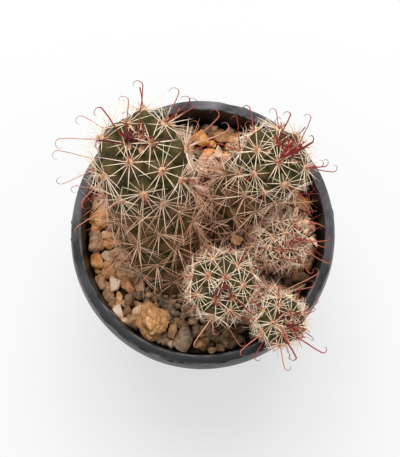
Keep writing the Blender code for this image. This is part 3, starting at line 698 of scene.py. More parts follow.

# Grains placed one by one, in millimetres: x, y, half size across, half size along, turn in degrees, colour,
# and for the one that is lodged between the stems how far it is lifted.
CHOSEN_GRAINS = (
    (-42.2, 12.9, 1.4, 1.9, 0, "cream"), (-38.6, 12.3, 1.6, 1.8, 30, "tan"),
    (-41.3, 3.7, 1.9, 1.7, 0, "orange"), (-42.8, 7.6, 1.6, 2.3, 0, "orange"),
    (-37.4, 0.8, 2.2, 1.5, 5, "blush"), (-41.3, -3.1, 3.1, 3.1, 10, "greytan"),
    (-36.6, -2.5, 1.7, 2.1, -20, "amber"), (-33.5, -2.6, 1.5, 1.4, 0, "tan"),
    (-33.3, -5.9, 2.0, 1.5, 15, "blush"), (-37.0, -7.5, 1.8, 2.1, 40, "quartz"),
    (-30.2, -8.0, 2.0, 1.5, 0, "blush"), (-41.3, -9.8, 1.9, 3.1, 5, "amber"),
    (-36.2, -13.7, 3.3, 2.3, 18, "ochre"), (-36.6, -10.3, 2.1, 1.5, 20, "tan"),
    (-39.8, -17.8, 2.7, 2.3, -40, "olive"), (-34.2, -18.7, 2.3, 2.5, 30, "white"),
    (-36.2, -23.1, 2.3, 2.0, 0, "greytan"), (-32.2, -23.5, 1.2, 1.9, 0, "tan"),
    (-35.4, -26.8, 1.4, 1.2, 0, "brown"), (-32.8, -29.3, 1.8, 2.9, 25, "white"),
    (-28.9, -29.1, 1.9, 2.3, 0, "brown"), (-28.2, -24.2, 2.0, 1.9, 0, "rosegrey"),
    (-24.2, -23.1, 2.1, 1.6, 0, "grey"), (-28.2, -19.9, 2.3, 1.7, -30, "rust"),
    (-31.4, -15.1, 1.8, 1.5, 0, "tan"), (-24.4, -26.9, 1.6, 1.3, 0, "brown"),
    (-30.4, -32.9, 1.1, 1.1, 0, "cream"), (-11.7, -36.5, 1.5, 3.2, -8, "amber"),
    (-7.6, -34.1, 1.9, 1.6, 0, "greytan"), (-2.4, -36.8, 2.0, 1.7, 0, "rosegrey"),
    (-4.0, -32.8, 2.0, 1.4, 0, "tan"), (-0.2, -41.9, 2.8, 2.6, 20, "amber"),
    (4.0, -38.5, 2.5, 2.2, 0, "rosegrey"), (3.6, -44.1, 1.6, 1.1, 0, "tan"),
    (6.9, -43.1, 1.6, 1.5, 0, "ochre"), (10.4, -41.5, 2.5, 2.1, 10, "greytan"),
    (0.6, -36.1, 1.7, 1.6, 0, "tan"), (14.6, -40.3, 1.9, 1.8, 0, "brown"),
    (14.4, -35.9, 2.1, 1.9, 0, "brown"), (9.4, -37.3, 1.8, 1.7, 0, "ochre"),
    (40.2, -10.3, 1.8, 1.9, 0, "ochre"), (36.6, -12.2, 2.3, 1.7, 10, "amber"),
    (36.0, -15.9, 2.1, 1.7, 0, "tan"), (39.2, -16.5, 1.8, 1.9, 0, "brown"),
    (41.6, -6.5, 1.6, 1.8, 0, "brown"), (-4.6, 42.5, 1.6, 1.3, 0, "olive"), (7.1, 40.0, 2.7, 2.5, 0, "tan"),
    (12.2, 38.5, 2.2, 1.9, 0, "amber"), (3.6, 37.1, 1.6, 1.5, 0, "amber"),
    (6.1, 33.7, 1.7, 2.4, 0, "cream"), (9.2, 31.7, 1.8, 1.7, 0, "amber"),
    (2.2, 33.3, 2.2, 1.7, 0, "orange"), (10.4, 35.3, 1.7, 1.5, 0, "tan"),
    (-6.6, 37.1, 1.7, 1.9, 0, "cream"), (13.1, -3.0, 1.9, 2.0, 0, "lodged", 9.0),
    (39.0, 5.7, 2.7, 1.9, 10, "quartz"), (35.5, 2.4, 1.8, 1.7, 0, "tan"), (41.0, 1.3, 1.7, 1.7, 0, "brown"),
)

# %% Stem and stone places
# The driving sizes of the five stems and the four large stones, in metres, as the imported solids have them,
# and how lumpy each stone is and how much larger its surface is drawn.
STEMS = {
    "stem_tall": dict(foot=(-0.0145, -0.0094), lean=(-0.16, 0.56, 1.0), crown=(-0.0234, 0.0247, 0.1300),
                      facing=(-0.09, 0.246, 0.966), radius=0.0168, neck=0.0112, swell=0.42, spacing=0.0112,
                      hand=1, first_turn=68, hook=0.0185, hook_depth=0.33, seed=3),
    "stem_back": dict(foot=(0.0065, 0.0056), lean=(0.42, 0.36, 1.0), crown=(0.0302, 0.0255, 0.1110),
                      facing=(0.42, 0.242, 0.875), radius=0.0131, neck=0.0082, swell=0.42, spacing=0.0085,
                      hand=-1, first_turn=68, hook=0.0140, hook_depth=0.30, seed=5),
    "stem_front": dict(foot=(0.0054, -0.0192), lean=(0.05, -0.10, 1.0), crown=(0.0081, -0.0246, 0.1040),
                       facing=(0.10, -0.30, 0.95), radius=0.0121, neck=0.0062, swell=0.56, spacing=0.0071,
                       hand=1, first_turn=40, hook=0.0120, hook_depth=0.30, seed=7),
    "stem_corner": dict(foot=(0.0230, -0.0246), lean=(-0.04, -0.06, 1.0), crown=(0.0312, -0.0386, 0.1050),
                        facing=(0.50, -0.38, 0.97), radius=0.0098, neck=0.0048, swell=0.98, spacing=0.0058,
                        hand=-1, first_turn=270, hook=0.0125, hook_depth=0.30, seed=9),
    "stem_small": dict(foot=(0.0230, -0.0046), lean=(0.26, -0.02, 1.0), crown=(0.0326, -0.0059, 0.0962),
                       facing=(0.44, -0.156, 0.885), radius=0.0088, neck=0.0058, swell=0.50, spacing=0.0049,
                       hand=-1, first_turn=324, hook=0.0105, hook_depth=0.28, seed=13, weathered=0.24),
}
LARGE_STONES = {
    "ochre_stone": dict(at=(-0.0194, -0.0331), half=(0.0065, 0.0054, 0.0050), turn=-50, seed=21,
                        lumpiness=1.0, swell=1.12),
    "grey_stone": dict(at=(-0.0073, -0.0405), half=(0.0036, 0.0042, 0.0034), turn=15, seed=22,
                       lumpiness=0.06, swell=1.10),
    "amber_stone": dict(at=(-0.0008, 0.0389), half=(0.0040, 0.0030, 0.0032), turn=-20, seed=23,
                        lumpiness=0.22, swell=1.05),
    "orange_stone": dict(at=(-0.0395, 0.0076), half=(0.0033, 0.0037, 0.0033), turn=30, seed=24,
                         lumpiness=0.60, swell=1.05),
}

# %% Settle the gravel
FILL_GRAINS = 330
LOW_GRAINS = 420
SETTLING_STEPS = 90
GRAIN_REACH = (0.0013, 0.0025)
GRAVEL_SEED = 31
# A grain placed by hand is this share as high as it is wide. A settled one stays where the nearest fixed one
# leaves it more than this share of its radius.
GRAIN_HEIGHT = 0.86
ROOM_LEFT = 0.35


def settled(places, reach, fixed, steps):
    """Grains on a plane pushed apart: each pair that overlaps moves apart by half its overlap, along the line
    between them, and a grain past the wall moves in. Fixed ones stay."""
    wall = wall_radius(GRAVEL_TOP) - 0.0004
    for _ in range(steps):
        apart = places[:, None, :] - places[None, :, :]
        distance = np.linalg.norm(apart, axis=2) + 1e-9
        overlap = np.maximum(reach[:, None] + reach[None, :] - distance, 0.0)
        np.fill_diagonal(overlap, 0.0)
        share = np.where(fixed[None, :], 1.0, 0.5) * overlap / distance
        push = (apart * share[..., None]).sum(axis=1)
        places = places + np.where(fixed[:, None], 0.0, 0.6 * push)
        out = np.linalg.norm(places / (1.0, OVAL), axis=1)
        inward = np.minimum(1.0, (wall - reach) / out)
        places = np.where(fixed[:, None], places, places * inward[:, None])
    return places


def spread_out(draw, count, reach):
    """Seeded places within a reach of the middle, as dense everywhere: a distance and a turn for each."""
    return reach * np.sqrt(draw.uniform(0, 1, size=count)), draw.uniform(0, 2 * math.pi, size=count)


draw = np.random.default_rng(GRAVEL_SEED)
chosen_at = np.array([g[:2] for g in CHOSEN_GRAINS]) / 1000
chosen_half = np.array([(g[2], g[3], GRAIN_HEIGHT * min(g[2], g[3])) for g in CHOSEN_GRAINS]) / 1000
feet = np.array([s["foot"] for s in STEMS.values()])
foot_reach = np.array([s["neck"] + 0.0012 for s in STEMS.values()])
large_at = np.array([s["at"] for s in LARGE_STONES.values()])
large_reach = np.array([min(s["half"][:2]) for s in LARGE_STONES.values()])
fixed_at = np.concatenate([chosen_at, feet, large_at])
fixed_reach = np.concatenate([chosen_half[:, :2].mean(axis=1), foot_reach, large_reach])
spread, turn = spread_out(draw, FILL_GRAINS, wall_radius(GRAVEL_TOP))
fill_at = np.stack([spread * np.cos(turn), spread * np.sin(turn)], axis=1)
fill_reach = GRAIN_REACH[0] + (GRAIN_REACH[1] - GRAIN_REACH[0]) * draw.uniform(0, 1, size=FILL_GRAINS) ** 1.6
is_fixed = np.concatenate([np.ones(len(fixed_at), dtype=bool), np.zeros(FILL_GRAINS, dtype=bool)])
reach = np.concatenate([fixed_reach, fill_reach])
fill_at = settled(np.concatenate([fixed_at, fill_at]), reach, is_fixed, SETTLING_STEPS)[len(fixed_at):]
gaps = np.linalg.norm(fill_at[:, None] - fixed_at[None], axis=2) - fixed_reach[None]
kept = gaps.min(axis=1) > ROOM_LEFT * fill_reach
fill_at, fill_reach = fill_at[kept], fill_reach[kept]
print(len(chosen_at), "grains placed by hand,", len(fill_at), "settled round them")

# %% Grain meshes
FILL_COLOURS = ("amber", "ochre", "tan", "tan", "blush", "greytan", "greytan", "rosegrey", "grey", "rust",
                "brown", "brown", "olive", "cream")
# How much larger grains are drawn than the circles that were pushed apart, so that they touch.
FILL_SWELL = 1.14
CHOSEN_SWELL = 1.18


def picked(draw, count, names):
    """A random colour of the list for each stone, a little lighter or darker each."""
    table = np.array([STONE_COLOURS[n] for n in names])
    return table[draw.integers(0, len(table), size=count)] * draw.uniform(0.75, 1.15, size=(count, 1))


def painted_stem_shade(places):
    """Painted shade of the grains that the stems shade: 1 at the left and at the back, and down to 0.43 at the
    front right.
    """
    forward = smooth((0.004 - places[:, 1:]) / 0.022)
    right = smooth((places[:, :1] + 0.026) / 0.008)
    return 1 - 0.57 * forward * right


grain_halves = np.stack([fill_reach, fill_reach * draw.uniform(0.78, 1.0, size=len(fill_reach)),
                         fill_reach * draw.uniform(0.62, 0.85, size=len(fill_reach))], axis=1)
heights = GRAVEL_TOP + draw.uniform(-0.0004, 0.0010, size=len(fill_reach))
# Settled grains get their colours, with painted stem shade at the front right.
fill_colours = picked(draw, len(fill_reach), FILL_COLOURS) * painted_stem_shade(fill_at)
fill = pebbles("gravel_fill", np.column_stack([fill_at, heights]), grain_halves * FILL_SWELL,
               fill_colours, tumbled(draw, len(fill_reach), 0.25), 3, 41)

chosen_turns = spun(np.radians([g[4] for g in CHOSEN_GRAINS]))
# Grains placed one by one get the same painted stem shade.
chosen_colours = 1.08 * np.array([STONE_COLOURS[g[5]] for g in CHOSEN_GRAINS]) * painted_stem_shade(chosen_at)
lifts = np.array([sum(g[6:]) for g in CHOSEN_GRAINS]) / 1000
chosen_heights = GRAVEL_TOP + 0.0008 + lifts + draw.uniform(-0.0003, 0.0005, size=len(chosen_at))
chosen_pebbles = pebbles("gravel_chosen", np.column_stack([chosen_at, chosen_heights]),
                         chosen_half * CHOSEN_SWELL, chosen_colours, chosen_turns, 4, 42)

spread, turn = spread_out(draw, LOW_GRAINS, wall_radius(GRAVEL_TOP) - 0.0016)
low_reach = draw.uniform(0.0010, 0.0019, size=LOW_GRAINS)
low_at = np.stack([spread * np.cos(turn), OVAL * spread * np.sin(turn),
                   GRAVEL_TOP - 0.0018 + draw.uniform(-0.0005, 0.0008, size=LOW_GRAINS)], axis=1)
# The low grains keep 0.45 of their colours: painted shade of the gaps between the grains above.
low = pebbles("gravel_low", low_at, low_reach[:, None] * (1.0, 0.85, 0.75),
              0.45 * picked(draw, LOW_GRAINS, FILL_COLOURS), tumbled(draw, LOW_GRAINS, 0.5), 2, 43)

# %% [markdown]
# ## The bed under the grains
#
# Between the grains the eye looks down on grit and dust in shadow. A disc with a rough top closes the bed
# there, from the soil up to just under the grains.

# %% Gravel bed
BED_RINGS = 60
BED_COLUMNS = 200
SOIL_TOP = 0.062
GAP = 0.0003


def gravel_bed():
    """A plug of the pot's shape whose top is rough: z = top + ripples of 4 mm and 1.6 mm."""
    low, high = SOIL_TOP + GAP, GRAVEL_TOP - 0.0024
    turn = full_turn(BED_COLUMNS)
    share = np.linspace(0.02, 1.0, BED_RINGS)
    radii = np.concatenate([share * (wall_radius(low) - GAP), share[::-1] * (wall_radius(high) - GAP)])
    z = np.concatenate([np.full(BED_RINGS, low), np.full(BED_RINGS, high)])
    rings = np.stack([radii[:, None] * np.cos(turn), OVAL * radii[:, None] * np.sin(turn),
                      z[:, None] + 0 * turn], axis=-1)
    rough = 0.0005 * ripple(rings, 0.004, 51) + 0.0003 * ripple(rings, 0.0016, 52)
    rings[BED_RINGS:, :, 2] += rough[BED_RINGS:]
    return rings


bed = mesh_piece("gravel_bed", *closed_rings(gravel_bed()))

# %% [markdown]
# ## Stone finish
#
# Every grain keeps one colour of its own, which is stored on its points, so that one material does for all
# of them. It breaks the colour up with darker and paler patches and with dark pores, and roughens it with
# grain. The large ochre lump is coarse and porous, so it gets more of each.

# %% Stone finish
def stone_material(name, base, pores, coarseness, roughness):
    """Mottled stone in its own colour. Base is a stored colour's name or a colour."""
    material, tree, shader = new_material(name, roughness, 0.24)
    own = stored(tree, base, colour=True) if isinstance(base, str) else base
    dark = blend(tree, 1.0, own, (0.52, 0.44, 0.36), "MULTIPLY")
    pale = blend(tree, 0.36, own, (0.90, 0.68, 0.44))
    patches = mottled(tree, 430.0, 0.36, 0.64)
    colour = blend(tree, patches, dark, pale)
    colour = blend(tree, 0.30, colour, own)
    pits = use(tree, specks, Scale=1300.0, Size=0.32, Share=pores)
    feed(tree, shader.inputs["Base Color"], laid(tree, colour, pits, 0.6, (0.10, 0.055, 0.03)))
    relief = add(tree, "Math", use(tree, grain, Scale=520.0), times(tree, pits, 0.5), operation="SUBTRACT")
    feed(tree, shader.inputs["Normal"], bump(tree, relief, coarseness, 0.8))
    return material


gravel_material = stone_material("gravel_stone", "stone", 0.24, 0.00055, 0.50)
bed_material, tree, shader = new_material("gravel_dust", 0.95)
colour = blend(tree, mottled(tree, 700.0), (0.020, 0.011, 0.006), (0.10, 0.058, 0.032))
finish(tree, shader, colour, 900.0, 0.0006)
place(bed, bed_material, "gravel", "gravel")
for piece in (fill, chosen_pebbles, low):
    place(piece, gravel_material, "gravel")

# %% [markdown]
# ## The large stones
#
# Four stones lie on the gravel. The ochre one at the front is a lump of coarse sandstone: round crumbs of
# three sizes stand out of its surface. A displacement texture could raise them, but here each point finds
# its nearest crumb centre, and the height falls off with the distance from it, so that the crumbs stay
# round. The other three are smoother, with less of each.

# %% Large stones
# Colour, share of pores, depth of the grain in metres and roughness.
STONE_FINISH = {
    "ochre_stone": ((0.655, 0.312, 0.105), 0.45, 0.0007, 0.85),
    "grey_stone": ((0.225, 0.158, 0.105), 0.2, 0.0002, 0.6),
    "amber_stone": ((0.78, 0.335, 0.065), 0.25, 0.0003, 0.6),
    "orange_stone": ((1.0, 0.450, 0.125), 0.2, 0.0003, 0.6),
}
# Crumbs: how many there are, and how far they stand out as a share of the radius.
CRUMBS = ((60, 0.16), (420, 0.080), (1600, 0.035))


def crumbs(directions, count, seed):
    """Round bumps between 0 and 1: 1 - (d / s)^2 round the nearest of random points, about s apart."""
    centres = unit(np.random.default_rng(seed).normal(size=(count, 3)))
    apart = math.sqrt(4 * math.pi / count)
    nearest = np.sqrt(np.maximum(2 - 2 * (directions @ centres.T).max(axis=1), 0.0))
    return np.clip(1 - (nearest / apart) ** 2, 0.0, 1.0)


def large_stone(at, half, turn, seed, lumpiness, swell):
    """A stone with a flat base: a rounded polyhedron scaled to its half sizes, swelled by a slow ripple and
    by crumbs of three sizes, and kept within the pot's wall."""
    directions, triangles = ball(6)
    draw = np.random.default_rng(seed)
    radius = swell * stone_radii(directions, draw, 1)[0]
    radius = radius * (1 + lumpiness * 0.07 * ripple(directions, 1.3, seed, waves=24))
    for count, push in CRUMBS:
        radius = radius * (1 + lumpiness * push * (crumbs(directions, count, seed + count) - 0.6))
    local = directions * radius[:, None] * half
    angle = math.radians(turn)
    x = local[:, 0] * math.cos(angle) - local[:, 1] * math.sin(angle)
    y = local[:, 0] * math.sin(angle) + local[:, 1] * math.cos(angle)
    z = np.maximum(0.0, local[:, 2] + 0.55 * half[2])
    return pulled_inside(np.stack([at[0] + x, at[1] + y, GRAVEL_TOP + GAP + z], axis=1)), triangles


for name, shape in LARGE_STONES.items():
    base, pores, coarseness, roughness = STONE_FINISH[name]
    stone = mesh_piece(name + "_surface", *large_stone(**shape))
    place(stone, stone_material(name, base, pores, coarseness, roughness), name, name)

# %% [markdown]
# ## The shape of a stem
#
# A pincushion cactus has no ribs. Its skin is a field of small tubercles, set a golden angle apart from the
# crown down, and each carries an areole at its tip. The stem's axis is a curve, its radius swells from the
# neck and ends in a dome, and each areole gets one cell of skin area, so they are packed evenly. The
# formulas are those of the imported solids, so skin and spines grow where those are.

# %% Stem shape
BURIED = 0.0125
DOME_HEIGHT = 0.78
DOME_POWER = 2.3
TUBERCLE_RELIEF = 0.27
TUBERCLE_LEAN = 0.18
CELL_SHARE = 0.866
CROWN_CELL = 0.22
GOLDEN_ANGLE = math.pi * (3 - math.sqrt(5))
LOWEST_AREOLE = GRAVEL_TOP + 0.0050
HOOK_BEND = 0.068


class Stem:
    """A stem's bent axis, the radius along it, and its areoles in golden-angle order from the crown down."""

    def __init__(self, foot, lean, crown, facing, radius, neck, swell, spacing, hand, first_turn, hook,
                 hook_depth, seed, weathered=0.0):
        self.spacing, self.seed, self.weathered = spacing, seed, weathered
        self.hand, self.first_turn = hand, math.radians(first_turn)
        self.hook, self.hook_depth = hook, hook_depth
        self.relief = TUBERCLE_RELIEF * spacing
        self.bulk = radius - self.relief
        self.neck, self.swell = neck, swell
        foot, crown = np.array([*foot, GRAVEL_TOP]), np.array(crown)
        self.make_axis(foot, unit(np.array(lean)), crown, unit(np.array(facing)))
        self.make_profile()
        self.make_areoles()

    def make_axis(self, foot, lean, crown, facing):
        """The axis is straight where it is buried, then a cubic curve that ends facing the crown's way."""
        reach = np.linalg.norm(crown - foot) / 3
        t = np.linspace(0, 1, 160)[:, None]
        ends = [foot, foot + lean * reach, crown - facing * reach, crown]
        curve = sum(k * (1 - t) ** (3 - i) * t**i * p for i, (k, p) in enumerate(zip((1, 3, 3, 1), ends)))
        self.points = np.vstack([foot - lean * BURIED, curve])
        steps = np.linalg.norm(np.diff(self.points, axis=0), axis=1)
        self.along = np.concatenate([[0], np.cumsum(steps)])
        self.length = self.along[-1]
        self.tangents = unit(np.gradient(self.points, self.along, axis=0))
        side = unit(np.cross([0.0, 1.0, 0.0], self.tangents[0]))
        sides = []
        for tangent in self.tangents:
            side = unit(side - tangent * (side @ tangent))
            sides.append(side)
        self.sides = np.array(sides)

    def radius_at(self, a):
        """Radius of the valleys between tubercles, at the distance a from the buried end."""
        dome = DOME_HEIGHT * self.bulk
        grown = smooth((a - BURIED) / (self.swell * self.length))
        body = self.neck + (self.bulk - self.neck) * grown
        up = np.clip((a - (self.length - dome)) / dome, 0, 1)
        return body * (1 - up**DOME_POWER) ** (1 / DOME_POWER)

    def make_profile(self):
        """Samples of the profile from the crown down: axial place, radius, outward slope and area so far."""
        turn = np.linspace(0, np.pi / 2, 60)
        dome = DOME_HEIGHT * self.bulk
        top = self.length - dome * (1 - np.cos(turn))
        self.a = np.concatenate([top, np.linspace(self.length - dome, 0, 160)[1:]])
        self.r = self.radius_at(self.a)
        step = np.hypot(np.diff(self.a), np.diff(self.r))
        self.down = np.concatenate([[0], np.cumsum(step)])
        ring = math.pi * (self.r[1:] + self.r[:-1]) * step
        self.area = np.concatenate([[0], np.cumsum(ring)])
        self.slope = unit(np.stack([np.gradient(self.r, self.down), np.gradient(self.a, self.down)], axis=1))

    def make_areoles(self):
        """Areoles a golden angle apart, each given one cell of area, with smaller cells round the crown."""
        cell = CELL_SHARE * self.spacing**2
        area, n, found = 0.5 * CROWN_CELL * cell, 0, []
        while area < self.area[-1]:
            down = np.interp(area, self.area, self.down)
            turn = self.first_turn + self.hand * n * GOLDEN_ANGLE
            if self.frames(np.array([down]), np.array([turn]))[0][0, 2] > LOWEST_AREOLE:
                found.append((down, turn))
            young = smooth(down / (0.75 * self.bulk))
            area += cell * (CROWN_CELL + (1 - CROWN_CELL) * young)
            n += 1
        self.downs, self.turns = np.array(found).T

    def frames(self, down, turn):
        """Points of the smooth skin at distances down from the crown and turns about the axis, each with its
        outward normal, the way round the stem and the way up it."""
        a, r = np.interp(down, self.down, self.a), np.interp(down, self.down, self.r)
        slope_r, slope_a = (np.interp(down, self.down, self.slope[:, i])[..., None] for i in range(2))
        centre, side, tangent = (np.stack([np.interp(a, self.along, rows[:, i]) for i in range(3)], axis=-1)
                                 for rows in (self.points, self.sides, self.tangents))
        side, tangent = unit(side), unit(tangent)
        radial = towards(turn, side, np.cross(tangent, side))
        normal = unit(-slope_a * radial + slope_r * tangent)
        upward = unit(-slope_r * radial - slope_a * tangent)
        return centre + r[..., None] * radial, normal, np.cross(upward, normal), upward

    def size_at(self, down):
        """Share of the full size that a tubercle and its spines have this far from the crown."""
        return 0.30 + 0.70 * smooth(down / (0.9 * self.bulk))

    def areole_frames(self):
        """Tips of all tubercles, with their normals, ways round and ways up."""
        at, normal, around, up = self.frames(self.downs, self.turns)
        raised = (normal + TUBERCLE_LEAN * up) * self.relief * self.size_at(self.downs)[:, None]
        return at + raised, normal, around, up

    def age_at(self, down):
        """Age this far from the crown: 0 on the young crown, 1 on the old lower half, raised if weathered."""
        return np.minimum(smooth((down / self.down[-1] - 0.19) / 0.35) + self.weathered, 1.0)


stems = {name: Stem(**shape) for name, shape in STEMS.items()}
for name, stem in stems.items():
    print(name, "has", len(stem.downs), "areoles")

# %% [markdown]
# ## Skin
#
# The skin is fleshy and green, with plump tubercles, and turns corky and brown with age. A displacement
# texture wouldn't know where the areoles are, so the skin is a grid that runs down the stem and round it.
# Each grid point looks for its nearest and its second nearest areole, at distances d1 and d2. The number t =
# (d2 - d1) / (d2 + d1) is 1 at an areole and 0 on the line between two of them, so a rounded function of t
# raises plump tubercles with narrow creases between.

# %% Skin surface
SKIN_STEP = 0.00042


def skin(stem):
    """Rings of the tubercled skin: p + (n + lean h u) relief h, with h = 1 - (1 - t)^2.1 faded out below the
    lowest areoles, n the normal and u the way up. Also h, the distance from the crown and the nearest
    areole's number."""
    rows = int(stem.down[-1] / SKIN_STEP)
    columns = int(2 * math.pi * stem.bulk / SKIN_STEP)
    down = np.linspace(0.0001, stem.down[-1], rows)[:, None] + np.zeros((1, columns))
    turn = full_turn(columns)[None, :] + np.zeros((rows, 1))
    at, normal, _, up = stem.frames(down, turn)
    sites = stem.frames(stem.downs, stem.turns)[0]
    flat = at.reshape(-1, 3)
    squared = (flat**2).sum(axis=1)[:, None] + (sites**2).sum(axis=1)[None] - 2 * flat @ sites.T
    nearest = np.sqrt(np.maximum(np.partition(squared, 1, axis=1)[:, :2], 0.0))
    owner = squared.argmin(axis=1)
    t = (nearest[:, 1] - nearest[:, 0]) / (nearest[:, 1] + nearest[:, 0])
    height = 1 - (1 - t) ** 2.1
    height = height * smooth((1.5 * stem.spacing - nearest[:, 0]) / (0.9 * stem.spacing))
    height = height.reshape(rows, columns)
    push = stem.relief * stem.size_at(down) * height
    rings = at + (normal + TUBERCLE_LEAN * height[..., None] * up) * push[..., None]
    rings = rings + normal * (0.00006 * ripple(rings, 0.0035, stem.seed))[..., None]
    return rings, height, down, owner.reshape(rows, columns)


def with_poles(values):
    """The values of a grid of rings in a row, followed by those of the two poles."""
    return np.concatenate([values.ravel(), [values[0].mean(), values[-1].mean()]])


# %% Skin finish
skin_material, tree, shader = new_material("cactus_skin", 0.58, 0.06)
tip, age, tint = stored(tree, "tip"), stored(tree, "age"), stored(tree, "tint")
# Creases between tubercles are painted near black as painted shade; the skin is paler towards the tips.
flank, top = span(tree, tip, 0.05, 0.45), span(tree, tip, 0.30, 0.85, 0.0, 0.80)
young_crease_shaded = blend(tree, flank, (0.009, 0.010, 0.001), (0.041, 0.038, 0.005))
old_crease_shaded = blend(tree, flank, (0.018, 0.012, 0.002), (0.058, 0.037, 0.010))
young = blend(tree, top, young_crease_shaded, (0.142, 0.078, 0.037))
old = blend(tree, top, old_crease_shaded, (0.135, 0.076, 0.038))
patches = mottled(tree, 420.0, 0.36, 0.68)
colour = laid(tree, blend(tree, age, young, old), patches, 0.40, (0.105, 0.064, 0.032))
blush = mottled(tree, 140.0, 0.50, 0.66)
colour = laid(tree, colour, blush, 0.45, (0.085, 0.044, 0.030))
deep_green = mottled(tree, 210.0, 0.47, 0.64)
colour = laid(tree, colour, deep_green, 0.55, (0.015, 0.025, 0.005))
colour = laid(tree, colour, tint, 0.35, (0.046, 0.060, 0.012))
cork = mottled(tree, 160.0, 0.46, 0.62)
colour = laid(tree, colour, cork, span(tree, age, 0.0, 0.8, 0.18, 0.8), (0.17, 0.088, 0.048))
pores = use(tree, specks, Scale=2600.0, Size=0.28, Share=0.45)
colour = laid(tree, colour, pores, 0.25, (0.20, 0.19, 0.12))
feed(tree, shader.inputs["Roughness"], add(tree, "MapRange", patches, 0.0, 1.0, 0.40, 0.60))
glowing(shader, 0.08, 0.0010, 0.0012, 0.0005)
finish(tree, shader, colour, 1500.0, 0.00008, 0.7)

for name, stem in stems.items():
    rings, height, down, owner = skin(stem)
    piece = mesh_piece(name + "_skin", *closed_rings(rings))
    paint(piece, "tip", with_poles(height))
    paint(piece, "age", with_poles(stem.age_at(down)))
    shade = np.random.default_rng(stem.seed).uniform(0, 1, size=len(stem.downs))
    paint(piece, "tint", with_poles(shade[owner]))
    place(piece, skin_material, "cactus_skin", name)

# %% [markdown]
# ## Spines as swept tubes
#
# A spine is a stiff tapered needle. Each could be a bevelled curve, but there are thousands, so they are
# swept all at once: an array of paths and an array of radii become rings of three to five points, joined by
# quads and closed at both ends. A straight spine needs four rings, a hooked one fifteen. Each point stores
# how far along its spine it lies and how old the spine is.

# %% Swept spines
def swept(paths, radii, across, sides):
    """Tubes along paths (count, rings, 3): c + r (cos a s + sin a o), with s and o square to the path. Across
    is a direction that no path runs along."""
    count, rings = paths.shape[:2]
    tangents = unit(np.gradient(paths, axis=1))
    side = unit(np.cross(across[:, None, :], tangents))
    other = np.cross(tangents, side)
    angle = np.arange(sides) * 2 * math.pi / sides
    offset = towards(angle, side[:, :, None], other[:, :, None])
    tube = paths[:, :, None] + radii[:, :, None, None] * offset
    points = np.concatenate([tube.reshape(count, -1, 3), paths[:, :1], paths[:, -1:]], axis=1)
    return copies(points, *ring_faces(rings, sides))


def has_room(paths, share=0.025):
    """True for each path that stays in the solids' box, grown by a share of its sides, and out of the pot's
    wall."""
    low, high = np.array(cad_box[0]), np.array(cad_box[1])
    room = share * (high - low)
    in_box = ((paths > low - room) & (paths < high + room)).all(axis=(1, 2))
    in_wall = (paths[..., 2] < POT_HEIGHT) & (past_wall(paths, 0.0) > 1)
    return in_box & ~in_wall.any(axis=1)


def spine_piece(name, paths, radii, across, sides, ages, material, slot, ends=(0.0, 1.0)):
    """The swept tubes that have room, as one piece that stores their age and, along them, a number that runs
    from the first of two ends to the second."""
    kept = has_room(paths)
    print(len(paths) - kept.sum(), "spines of", name, "have no room and are left out")
    paths, radii, across, ages = paths[kept], radii[kept], across[kept], ages[kept]
    piece = mesh_piece(name, *swept(paths, radii, across, sides))
    along = np.concatenate([np.repeat(np.linspace(*ends, paths.shape[1]), sides), ends])
    paint(piece, "along", np.tile(along, len(paths)))
    paint(piece, "age", np.repeat(ages, len(along)))
    place(piece, material, slot)


# %% [markdown]
# ## Areoles and straight spines
#
# Each areole is a small cushion of felt, from which a dozen straight cream spines fan out close to the skin
# and reach almost to the next areole. Lower down they are older: tan and pink, in disorder, and joined by a
# tangle of finer ones and by a few long ones that drift across, until they hide the skin like a net. Most
# old areoles also send one stout spine down the stem. A hair system could scatter them, but not in the order
# that the areoles give. So all four kinds are fans at the areoles, with their own number, rise, reach and
# looseness.

# %% Straight spines
# What an areole of each stem carries: how many radials, their reach in areole spacings and their radius at
# the root, how many spines of the tangle, and the radius of its felt. Lengths are in metres.
CARRIED = {
    "stem_tall": dict(radials=12, reach=(0.82, 1.08), radius=0.00017, tangle=9, felt=0.00160),
    "stem_back": dict(radials=13, reach=(0.85, 1.15), radius=0.00017, tangle=8, felt=0.00138),
    "stem_front": dict(radials=13, reach=(0.92, 1.22), radius=0.000155, tangle=6, felt=0.00108),
    "stem_corner": dict(radials=12, reach=(0.92, 1.22), radius=0.00015, tangle=4, felt=0.00095),
    "stem_small": dict(radials=13, reach=(1.25, 1.65), radius=0.00014, tangle=6, felt=0.00072),
}
STRAIGHT_TAPER = np.array([1.0, 0.90, 0.68, 0.16])
STRAIGHT_SUNK = 0.0002
THINNED_BY_AGE = 0.38
LOST_BY_AGE = 0.28


